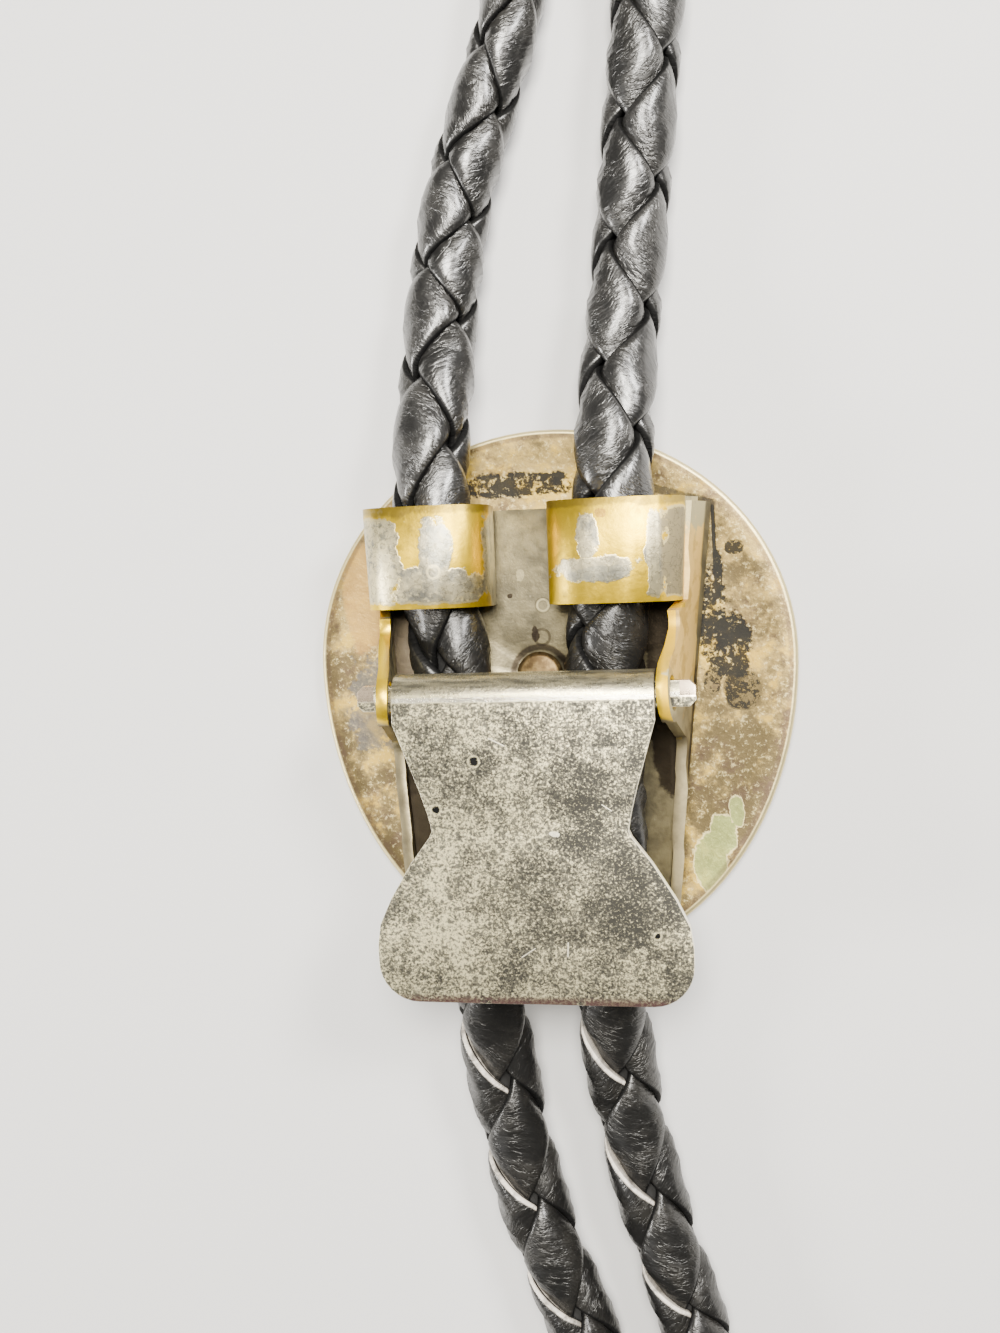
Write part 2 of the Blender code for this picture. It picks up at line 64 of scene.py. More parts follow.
# The cord's route, in metres, as the frame's cord follows it
CORD_ROUTE = [
    (0.0034, -0.0710, TIP_Z),
    (0.0034, -0.0650, TIP_Z),
    (0.0034, -0.0595, TIP_Z),
    (0.0029, -0.0550, 0.0029),
    (0.0018, -0.0520, 0.0026),
    (0.0004, -0.0485, FLOOR_Z),
    (-0.0015, -0.0435, FLOOR_Z),
    (-0.0030, -0.0388, FLOOR_Z),
    (-0.0044, -0.0318, 0.0027),
    (-0.0050, -0.0262, 0.0038),
    (-0.0052, -0.0225, 0.0047),
    (-0.0055, -0.0170, CORD_Z),
    (-0.0060, -0.0090, CORD_Z),
    (-0.0068, 0.0000, CORD_Z),
    (-0.0075, 0.0055, CORD_Z),
    (-0.0078, 0.0115, CORD_Z),
    (-0.0077, 0.0160, 0.0046),
    (-0.0074, 0.0208, 0.0033),
    (-0.0070, 0.0255, 0.0026),
    (-0.0057, 0.0323, FLOOR_Z),
    (-0.0035, 0.0389, FLOOR_Z),
    (-0.0013, 0.0456, FLOOR_Z),
    (-0.0004, 0.0550, FLOOR_Z),
    (-0.0015, 0.0700, FLOOR_Z),
    (-0.0034, 0.0870, FLOOR_Z),
    (-0.0052, 0.1060, FLOOR_Z),
    (-0.0070, 0.1260, FLOOR_Z),
    (-0.0088, 0.1440, FLOOR_Z),
    (-0.0099, 0.1590, FLOOR_Z),
    (-0.0093, 0.1705, FLOOR_Z),
    (-0.0061, 0.1792, FLOOR_Z),
    (0.0002, 0.1830, FLOOR_Z),
    (0.0067, 0.1799, FLOOR_Z),
    (0.0105, 0.1715, FLOOR_Z),
    (0.0118, 0.1590, FLOOR_Z),
    (0.0120, 0.1440, FLOOR_Z),
    (0.0116, 0.1260, FLOOR_Z),
    (0.0110, 0.1060, FLOOR_Z),
    (0.0102, 0.0870, FLOOR_Z),
    (0.0095, 0.0700, FLOOR_Z),
    (0.0087, 0.0550, FLOOR_Z),
    (0.0079, 0.0446, FLOOR_Z),
    (0.0072, 0.0379, FLOOR_Z),
    (0.0065, 0.0313, FLOOR_Z),
    (0.0058, 0.0250, 0.0026),
    (0.0053, 0.0205, 0.0033),
    (0.0050, 0.0160, 0.0046),
    (0.0048, 0.0115, CORD_Z),
    (0.0045, 0.0055, CORD_Z),
    (0.0039, 0.0000, CORD_Z),
    (0.0036, -0.0090, CORD_Z),
    (0.0034, -0.0170, CORD_Z),
    (0.0034, -0.0225, 0.0047),
    (0.0037, -0.0262, 0.0038),
    (0.0043, -0.0318, 0.0027),
    (0.0058, -0.0388, FLOOR_Z),
    (0.0073, -0.0440, FLOOR_Z),
    (0.0089, -0.0490, FLOOR_Z),
    (0.0101, -0.0525, 0.0026),
    (0.0109, -0.0555, 0.0029),
    (0.0115, -0.0600, TIP_Z),
    (0.0115, -0.0655, TIP_Z),
    (0.0115, -0.0715, TIP_Z),
]

# Where the braid's seams fall on each half of the cord: distance from the tip's mouth, half turns
LEFT_SEAMS = [
    (0.0, -0.2),
    (0.0290, 3.0),
    (0.0379, 4.0),
    (0.0479, 5.0),
    (0.0880, 9.0),
    (0.0970, 10.0),
    (0.1040, 11.0),
    (0.1115, 12.0),
]
RIGHT_SEAMS = [
    (0.0, -0.8),
    (0.0299, 3.0),
    (0.0395, 4.0),
    (0.0486, 5.0),
    (0.0926, 10.0),
    (0.1016, 11.0),
    (0.1096, 12.0),
]

# How far the braid is rolled round the cord, in degrees: distance from the tip's mouth
LEFT_ROLL = [(0.0, 15.0), (0.0479, 18.0), (0.0880, -35.0)]
RIGHT_ROLL = [(0.0, -15.0), (0.0486, -12.0), (0.0926, -58.0)]

# How wide the braid lies, as a share of its usual width: distance from the tip's mouth
WIDTH_PLACES = (0.0, 0.0300, 0.0470, 0.0590, 0.0830, 0.0980, 0.1190)
LEFT_WIDTH = list(zip(WIDTH_PLACES, (0.95, 1.06, 1.10, 1.18, 1.14, 1.08, 0.92)))
RIGHT_WIDTH = list(zip(WIDTH_PLACES, (0.95, 1.04, 1.08, 1.20, 1.16, 1.07, 1.04)))

# The braid's texture coordinates, and what keeps its two directions of lace apart in them
LACE_MAP = "LaceUV"
HAND_OFFSET = 10.0 * MM

# Steps between two points of a route while it is smoothed
CURVE_STEPS = 40

# A worn patch: the power of its rounded outline, and where its soft edge ends and starts
PATCH_POWER = 2.6
PATCH_EDGE = (1.08, 0.92)

# A stroke: how far its edge wanders, and where its soft edge ends and starts
STROKE_ROUGH = 1.6
STROKE_EDGE = (1.25, 0.75)

# Edges bent by more than this look sharp
SHARP_ANGLE = math.radians(35)


class Direction(Enum):
    """Which way a lace winds round the cord."""

    RIGHT_HANDED = 1.0
    LEFT_HANDED = -1.0


def interpolate(stations: list[tuple[float, float]], at: float) -> float:
    """Reads a value between stations.

    Args:
        stations: Pairs of position and value, in order of position.
        at: The position to read.

    Returns:
        The value there, on straight lines between the stations.
    """
    for (a, low), (b, high) in zip(stations, stations[1:]):
        if at <= b:
            return low + (high - low) * max(0.0, at - a) / (b - a)
    return stations[-1][1]


def smooth_route(points: list[tuple[float, float, float]], step: float) -> list[Vector]:
    """Samples the smooth curve through a route's points.

    Args:
        points: The route's chosen points.
        step: The spacing of the result, in metres.

    Returns:
        Evenly spaced points along the curve, none of them below the floor line.
    """
    nodes = [Vector(p) for p in points]
    nodes = [2 * nodes[0] - nodes[1], *nodes, 2 * nodes[-1] - nodes[-2]]
    fine: list[Vector] = []
    for a, b, c, d in zip(nodes, nodes[1:], nodes[2:], nodes[3:]):
        for k in range(CURVE_STEPS):
            t = k / CURVE_STEPS
            bend = (2 * a - 5 * b + 4 * c - d) * t**2 + (3 * b - a - 3 * c + d) * t**3
            fine.append(0.5 * (2 * b + (c - a) * t + bend))
    fine.append(nodes[-2])
    walked = [0.0]
    for p, q in zip(fine, fine[1:]):
        walked.append(walked[-1] + (q - p).length)
    count = max(2, round(walked[-1] / step) + 1)
    picked: list[Vector] = []
    at = 0
    for i in range(count):
        goal = walked[-1] * i / (count - 1)
        while at < len(fine) - 2 and walked[at + 1] < goal:
            at += 1
        share = (goal - walked[at]) / max(1e-12, walked[at + 1] - walked[at])
        place = fine[at].lerp(fine[at + 1], min(1.0, share))
        place.z = max(place.z, FLOOR_Z)
        picked.append(place)
    return picked


def route_length(route: list[Vector]) -> float:
    """The length of a line through points."""
    return sum((b - a).length for a, b in zip(route, route[1:]))


@dataclass
class Field:
    """A number or vector socket of a node tree, with arithmetic that adds nodes."""

    web: "Web"
    socket: bpy.types.NodeSocket

    def _math(self, operation: str, *others: "Field | float") -> "Field":
        """Adds a Math node that starts from this field."""
        return self.web.math(operation, self, *others)

    def __add__(self, other: "Field | float") -> "Field":
        """Adds."""
        return self._math("ADD", other)

    __radd__ = __add__

    def __sub__(self, other: "Field | float") -> "Field":
        """Subtracts."""
        return self._math("SUBTRACT", other)

    def __rsub__(self, other: float) -> "Field":
        """Subtracts this from a number."""
        return self.web.math("SUBTRACT", other, self)

    def __mul__(self, other: "Field | float") -> "Field":
        """Multiplies."""
        return self._math("MULTIPLY", other)

    __rmul__ = __mul__

    def __truediv__(self, other: "Field | float") -> "Field":
        """Divides."""
        return self._math("DIVIDE", other)

    def __pow__(self, other: "Field | float") -> "Field":
        """Raises to a power."""
        return self._math("POWER", other)

    def sin(self) -> "Field":
        """The sine."""
        return self._math("SINE")

    def cos(self) -> "Field":
        """The cosine."""
        return self._math("COSINE")

    def size(self) -> "Field":
        """The absolute value."""
        return self._math("ABSOLUTE")

    def sign(self) -> "Field":
        """The sign."""
        return self._math("SIGN")

    def above(self, limit: "Field | float") -> "Field":
        """One where this is greater than a limit."""
        return self._math("GREATER_THAN", limit)

    def below(self, limit: "Field | float") -> "Field":
        """One where this is less than a limit."""
        return self._math("LESS_THAN", limit)

    def clamp(self) -> "Field":
        """Limited to the range from 0 to 1."""
        return self.web.field("ShaderNodeClamp", Value=self)

    def ramp(self, low: float, high: float) -> "Field":
        """Makes a smooth step.

        Args:
            low: Where the step starts, at 0.
            high: Where it ends, at 1; below low for a step down.

        Returns:
            The step, from 0 to 1.
        """
        node = self.web.node("ShaderNodeMapRange", Value=self, From_Min=low, From_Max=high)
        node.interpolation_type = "SMOOTHSTEP"
        return Field(self.web, node.outputs["Result"])

    def between(self, span: tuple[float, float]) -> "Field":
        """A smooth step between two places, in millimetres."""
        return self.ramp(span[0] * MM, span[1] * MM)

    def axis(self, name: str) -> "Field":
        """One component of a vector, by its letter."""
        return self.web.field("ShaderNodeSeparateXYZ", name, Vector=self)

    def vector(self, operation: str, other: "Field | tuple") -> "Field":
        """Adds a Vector Math node that starts from this field."""
        return self.web.math(operation, self, other, kind="ShaderNodeVectorMath")

    def scaled(self, factor: "Field | float") -> "Field":
        """Lengthens a vector.

        Args:
            factor: What to multiply it by.

        Returns:
            The longer or shorter vector.
        """
        node = self.web.tree.nodes.new("ShaderNodeVectorMath")
        node.operation = "SCALE"
        self.web.feed(node.inputs[0], self)
        self.web.feed(node.inputs["Scale"], factor)
        return Field(self.web, node.outputs[0])


@dataclass
class Web:
    """A node tree with short calls for the nodes that the finishes and the braid use."""

    tree: bpy.types.NodeTree

    def feed(self, socket: bpy.types.NodeSocket, value: "Field | float | tuple") -> None:
        """Links a field to a socket, or sets a plain value on it.

        Args:
            socket: The input to feed.
            value: A field, a number or a colour of three parts.
        """
        if isinstance(value, Field):
            self.tree.links.new(value.socket, socket)
        elif isinstance(value, tuple) and len(value) == 3 and socket.type == "RGBA":
            socket.default_value = (*value, 1.0)
        else:
            socket.default_value = value

    def node(self, kind: str, **inputs: "Field | float | tuple") -> bpy.types.Node:
        """Adds a node and feeds its inputs.

        Args:
            kind: The node's Blender type.
            **inputs: Values by socket name, with underscores for spaces.

        Returns:
            The new node.
        """
        made = self.tree.nodes.new(kind)
        for name, value in inputs.items():
            self.feed(made.inputs[name.replace("_", " ")], value)
        return made

    def field(self, kind: str, output: int | str = 0, **inputs: "Field | float | tuple") -> Field:
        """Adds a node and returns one of its outputs.

        Args:
            kind: The node's Blender type.
            output: The output's number or name.
            **inputs: Values by socket name, with underscores for spaces.

        Returns:
            That output.
        """
        return Field(self, self.node(kind, **inputs).outputs[output])

    def math(self, operation: str, *values: "Field | float | tuple", kind: str = "ShaderNodeMath") -> Field:
        """Adds a node that does one operation.

        Args:
            operation: The operation's Blender name.
            *values: Its inputs, in order.
            kind: The node's Blender type.

        Returns:
            The result.
        """
        made = self.tree.nodes.new(kind)
        made.operation = operation
        for socket, value in zip(made.inputs, values):
            self.feed(socket, value)
        return Field(self, made.outputs[0])

    def highest(self, first: Field, *others: Field) -> Field:
        """The greatest of several fields."""
        for other in others:
            first = self.math("MAXIMUM", first, other)
        return first

    def noise(
        self, place: Field, size_mm: float, detail: float = 3.0, rough: float = 0.55, shift: float = 0.0
    ) -> Field:
        """Adds soft noise whose lumps have a real size.

        Args:
            place: The coordinates, in metres.
            size_mm: About the size of one lump.
            detail: How many finer layers it has.
            rough: How strong the finer layers are.
            shift: Moves the pattern, to make another of the same kind.

        Returns:
            The noise, from 0 to 1.
        """
        moved = place.vector("ADD", (shift, shift * 0.7, shift * 1.3))
        scale = 1.0 / (size_mm * MM)
        return self.field("ShaderNodeTexNoise", Vector=moved, Scale=scale, Detail=detail, Roughness=rough)

    def spot(
        self, place: Field, x: float, y: float, wide: float, high: float, ragged: Field, rough: float = 1.4
    ) -> Field:
        """Adds a patch with a ragged edge, seen from above.

        Args:
            place: The coordinates, in metres.
            x: The patch's middle, in millimetres.
            y: The patch's middle, in millimetres.
            wide: Half its width, in millimetres.
            high: Half its height, in millimetres.
            ragged: Noise that roughens its edge.
            rough: How far the edge wanders, in shares of its size.

        Returns:
            One inside the patch and 0 outside.
        """
        across = (place.axis("X") - x * MM) / (wide * MM)
        along = (place.axis("Y") - y * MM) / (high * MM)
        reach = (across.size() ** PATCH_POWER + along.size() ** PATCH_POWER) ** (1 / PATCH_POWER)
        return (reach + (ragged - 0.5) * rough).ramp(*PATCH_EDGE)

    def patches(self, place: Field, sizes: tuple, ragged: Field, rough: float = 1.4) -> Field:
        """Adds several patches with ragged edges.

        Args:
            place: The coordinates, in metres.
            sizes: Each patch's middle, half width and half height, in millimetres.
            ragged: Noise that roughens their edges.
            rough: How far the edges wander, in shares of a patch's size.

        Returns:
            One inside any of them and 0 outside.
        """
        return self.highest(*(self.spot(place, *size, ragged, rough) for size in sizes))

    def ring(self, place: Field, x: float, y: float, radius: float, line: float) -> Field:
        """Adds a thin ring, seen from above.

        Args:
            place: The coordinates, in metres.
            x: The ring's middle, in millimetres.
            y: The ring's middle, in millimetres.
            radius: Its radius, in millimetres.
            line: Half the width of its line, in millimetres.

        Returns:
            One on the ring and 0 beside it.
        """
        across = place.axis("X") - x * MM
        along = place.axis("Y") - y * MM
        reach = (across * across + along * along) ** 0.5
        return (reach - radius * MM).size().ramp(line * MM, line * 0.4 * MM)

    def stroke(self, place: Field, start: tuple, end: tuple, half_width: float, ragged: Field) -> Field:
        """Adds a line between two points seen from above.

        Args:
            place: The coordinates, in metres.
            start: Its first end, as x and y in millimetres.
            end: Its second end, as x and y in millimetres.
            half_width: Half its width, in millimetres.
            ragged: Noise that roughens it.

        Returns:
            One on the line and 0 beside it.
        """
        run = ((end[0] - start[0]) * MM, (end[1] - start[1]) * MM)
        whole = run[0] ** 2 + run[1] ** 2
        across = place.axis("X") - start[0] * MM
        along = place.axis("Y") - start[1] * MM
        share = ((across * run[0] + along * run[1]) / whole).clamp()
        off_x = across - share * run[0]
        off_y = along - share * run[1]
        reach = (off_x * off_x + off_y * off_y) ** 0.5 / (half_width * MM)
        return (reach + (ragged - 0.5) * STROKE_ROUGH).ramp(*STROKE_EDGE)

    def blend(self, amount: "Field | float", low: "Field | tuple", high: "Field | tuple") -> Field:
        """Mixes two colours.

        Args:
            amount: The second colour's share.
            low: The first colour.
            high: The second colour.

        Returns:
            The mixed colour.
        """
        made = self.tree.nodes.new("ShaderNodeMix")
        made.data_type = "RGBA"
        for number, value in ((0, amount), (6, low), (7, high)):
            self.feed(made.inputs[number], value)
        return Field(self, made.outputs[2])

    def layers(self, colour: "Field | tuple", *layers: tuple) -> "Field | tuple":
        """Lays colours over one another.

        Args:
            colour: The lowest colour.
            *layers: Pairs of how much a layer covers and its colour, lowest first.

        Returns:
            The colour that shows.
        """
        for amount, laid in layers:
            colour = self.blend(amount, colour, laid)
        return colour


class Surface:
    """A material under construction, with its Principled shader and its web of nodes."""

    def __init__(self, name: str) -> None:
        """Makes an empty material.

        Args:
            name: The material's name.
        """
        self.material = bpy.data.materials.new(name)
        self.material.use_nodes = True
        self.web = Web(self.material.node_tree)
        self.shader = self.material.node_tree.nodes["Principled BSDF"]
        coordinates = self.web.node("ShaderNodeTexCoord")
        self.place = Field(self.web, coordinates.outputs["Object"])
        self.facing_up = Field(self.web, coordinates.outputs["Normal"]).axis("Z")

    def set(self, **inputs: "Field | float | tuple") -> None:
        """Feeds the shader's inputs, by name with underscores for spaces."""
        for name, value in inputs.items():
            self.web.feed(self.shader.inputs[name.replace("_", " ")], value)

    def bump(self, height: Field, depth_mm: float, strength: float = 1.0) -> None:
        """Raises the surface by a field.

        Args:
            height: How high each place is, from 0 to 1.
            depth_mm: How high 1 is, in millimetres.
            strength: The share of that height that shows.
        """
        raised = self.web.field("ShaderNodeBump", Height=height, Strength=strength, Distance=depth_mm * MM)
        self.set(Normal=raised)


@dataclass(frozen=True)
class BraidLeather:
    """Glossy black leather laces with transverse creases, and a painted highlight along the cut edges on the
    free ends.
    """

    cord_length: float
    lace_width: float
    colour: tuple = (0.005, 0.005, 0.005)
    worn_colour: tuple = (0.016, 0.015, 0.013)
    edge_highlight_colour: tuple = (0.62, 0.57, 0.50)
    seam_shade: tuple = (0.002, 0.002, 0.002)
    free_length: float = 52.0 * MM
    shade_top: float = 4.6 * MM
    shade_bottom: float = -19.0 * MM
    crease_bow: float = 60.0

    def make(self) -> bpy.types.Material:
        """Makes the leather's material.

        Returns:
            The material, with its nodes.
        """
        surface = Surface("braid_leather")
        web = surface.web
        lace_map = web.node("ShaderNodeUVMap")
        lace_map.uv_map = LACE_MAP
        uv = Field(web, lace_map.outputs[0])
        hand = uv.axis("Y").sign()
        across = uv.axis("Y") - hand * HAND_OFFSET
        walked = uv.axis("X")
        wander = web.noise(surface.place, 2.6, detail=2.0, shift=0.04) - 0.5
        along = walked + wander * 0.9 * MM + across * across * self.crease_bow + hand
        crease_place = web.field("ShaderNodeCombineXYZ", X=along, Y=across * 0.24)
        creases = web.noise(crease_place, 0.42, detail=3.0, rough=0.6)
        grooves = (creases - 0.5).size().ramp(0.0, 0.075)
        folds = web.noise(crease_place, 0.95, detail=2.0, shift=0.013)
        grain = web.noise(surface.place, 0.12, detail=3.0)
        wear = web.noise(surface.place, 2.2, detail=4.0, shift=0.05).ramp(0.40, 0.66)
        share = across / (self.lace_width / 2)
        # Painted shade: the lace edges at the seams get a darker colour
        seam = share.size().ramp(0.90, 0.965)
        left_end = walked.below(self.free_length)
        right_end = walked.above(self.cord_length - self.free_length)
        # Painted highlight: a pale line along one cut edge of the left-handed laces on the free ends
        outer = share * (left_end - right_end) * hand.below(0.0)
        edge_highlight = outer.ramp(0.87, 0.92) * outer.ramp(0.995, 0.975)
        edge_highlight = edge_highlight * (0.35 + 0.65 * web.noise(surface.place, 0.9, detail=3.0, shift=0.02).ramp(0.32, 0.55))
        body = web.blend(wear * 0.6 + grain * 0.3, self.colour, self.worn_colour)
        surface.set(Base_Color=web.layers(body, (seam, self.seam_shade), (edge_highlight, self.edge_highlight_colour)))
        surface.set(Roughness=0.27 + 0.10 * wear + 0.10 * grain + 0.35 * seam * (1.0 - edge_highlight))
        # Painted shade: gloss is lowered on the free ends and under the slide, where the cord lies in shade
        lengthwise = surface.place.axis("Y")
        shaded_under_slide = lengthwise.below(self.shade_top) * lengthwise.above(self.shade_bottom)
        gloss = (1.0 - seam) * (1.0 - 0.62 * (left_end + right_end)) * (1.0 - 0.6 * shaded_under_slide)
        surface.set(Specular_IOR_Level=0.15 + 0.8 * gloss, Coat_Weight=0.5 * gloss, Coat_Roughness=0.17)
        height = creases * 0.35 + grooves * (0.05 + 0.22 * wear) + folds * 0.85 + grain * 0.02
        surface.bump(height, 0.2, 1.0)
        return surface.material


@dataclass(frozen=True)
class DarkFilling:
    """The plain dark core that shows only in the seams."""

    colour: tuple = (0.004, 0.004, 0.004)

    def make(self) -> bpy.types.Material:
        """Makes the core's material.

        Returns:
            The material, with its nodes.
        """
        surface = Surface("braid_core")
        fibre = surface.web.noise(surface.place, 0.4)
        surface.set(Base_Color=surface.web.blend(fibre, self.colour, tuple(2 * c for c in self.colour)))
        surface.set(Roughness=0.8)
        return surface.material


@dataclass(frozen=True)
class LeverPlating:
    """Worn nickel, finely mottled grey and cream, with painted highlights on the edges, scratches and pits.
    """

    dark: tuple = (0.033, 0.032, 0.027)
    middle: tuple = (0.155, 0.145, 0.108)
    cream: tuple = (0.90, 0.81, 0.48)
    bright: tuple = (0.96, 0.90, 0.70)
    pink_white: tuple = (0.44, 0.35, 0.25)
    stain: tuple = (0.10, 0.05, 0.05)
    roll_light: tuple = (0.40, 0.36, 0.23)
    pit_black: tuple = (0.006, 0.006, 0.006)
    pits: tuple = ((-4.25, -5.91, 0.26), (-6.93, -9.11, 0.24), (7.45, -17.38, 0.17))
    smudges: tuple = (
        (-5.3, -7.2, 2.6, 2.2),
        (2.4, -12.0, 3.2, 1.3),
        (5.6, -15.6, 3.2, 2.6),
        (2.8, -6.0, 2.2, 2.4),
    )
    scratches: tuple = (
        ((-3.2, -4.4), (-2.2, -4.9), 0.035),
        ((1.6, -17.9), (1.55, -18.8), 0.045),
        ((-1.5, -18.9), (-0.6, -18.3), 0.03),
        ((4.1, -8.8), (4.7, -9.2), 0.03),
    )
    glint: tuple = (0.9, -10.7, 0.30, 0.20)
    roll: tuple = (-2.1, -1.9)
    bend_end: tuple = (-1.6, -1.35)
    bend_line: float = -1.85
    ear_start: float = 10.2
    foot: tuple = (-21.4, -21.9)

    def make(self) -> bpy.types.Material:
        """Makes the lever's material.

        Returns:
            The material, with its nodes.
        """
        surface = Surface("lever_plating")
        web, place = surface.web, surface.place
        fine = web.noise(place, 0.24, detail=6.0, rough=0.8)
        medium = web.noise(place, 1.1, detail=4.0, rough=0.65, shift=0.03)
        broad = web.noise(place, 5.0, detail=2.0, shift=0.071)
        smudged = web.patches(place, self.smudges, broad, 2.0)
        grit = web.noise(place, 0.15, detail=2.0, rough=0.6, shift=0.017)
        flecks = 1.0 - (web.noise(place, 0.42, detail=3.0, rough=0.6, shift=0.051) - 0.5).size() * 5.0
        left = place.axis("X").ramp(4.0 * MM, -7.0 * MM)
        tone = fine * 0.50 + grit * 0.24 + medium * 0.28 + broad * 0.20 + left * 0.03 - smudged * 0.025 - 0.01
        speckled = web.layers(
            web.blend(tone.ramp(0.52, 0.66), self.dark, self.middle),
            ((tone + flecks * 0.16).ramp(0.71, 0.85), self.cream),
            ((grit * 0.6 + fine * 0.4).ramp(0.55, 0.66) * 0.55, self.cream),
            *((web.stroke(place, *scratch, fine) * 0.8, self.bright) for scratch in self.scratches),
        )
        lengthwise = place.axis("Y")
        # Painted reflection: past the bend the roll is darkened with streaks, standing in for the dark
        # surroundings reflected in its curve
        on_roll = lengthwise.between(self.roll)
        streaks = web.noise(place.vector("MULTIPLY", (1.0, 6.0, 6.0)), 1.6, detail=4.0)
        rolled = web.blend(streaks.ramp(0.35, 0.6), self.middle, self.roll_light)
        rolled = web.blend(fine.ramp(0.56, 0.64) * 0.5, rolled, self.dark)
        streaked = lengthwise + (streaks - 0.5) * 0.3 * MM
        past_bend = streaked.between(self.bend_end)
        # Painted highlight: a bright line along the bend of the roll
        off_bend = lengthwise - self.bend_line * MM + (medium - 0.5) * 0.25 * MM
        bend_highlight = off_bend.size().between((0.19, 0.10))
        # Painted highlight: edges that turn away from the top are made bright and less metallic
        rim_highlight = surface.facing_up.ramp(0.992, 0.92) * (1.0 - on_roll)
        foot = lengthwise.between(self.foot)
        ears = (place.axis("X") - CLIP_X).size().above(self.ear_start * MM) * on_roll
        glint = web.spot(place, *self.glint, medium, 3.0)
        pitted = web.patches(place, [(x, y, radius, radius) for x, y, radius in self.pits], fine, 2.2)
        halos = [web.ring(place, x, y, radius * 1.4, 0.10) * 0.35 for x, y, radius in self.pits]
        colour = web.layers(
            speckled,
            (on_roll * 0.9, web.blend(past_bend, self.cream, rolled)),
            (bend_highlight, self.bright),
            ((rim_highlight * (0.8 + 0.5 * fine)).clamp(), self.bright),
            (foot * medium.ramp(0.3, 0.5) * 0.85, self.stain),
            (ears, self.pink_white),
            (glint * (0.2 + 0.8 * fine), self.bright),
            *((halo, self.cream) for halo in halos),
            (pitted, self.pit_black),
        )
        dull = (1.0 - tone.ramp(0.5, 0.72)) * (1.0 - rim_highlight)
        surface.set(Base_Color=colour, Metallic=0.82 - 0.55 * rim_highlight)
        surface.set(Roughness=0.28 + 0.2 * dull + 0.1 * fine - 0.12 * on_roll - 0.08 * bend_highlight)
        surface.bump((fine * 0.6 + medium * 0.8) * (1.0 - 0.8 * ears) - pitted * 1.5, 0.05, 0.6)
        return surface.material


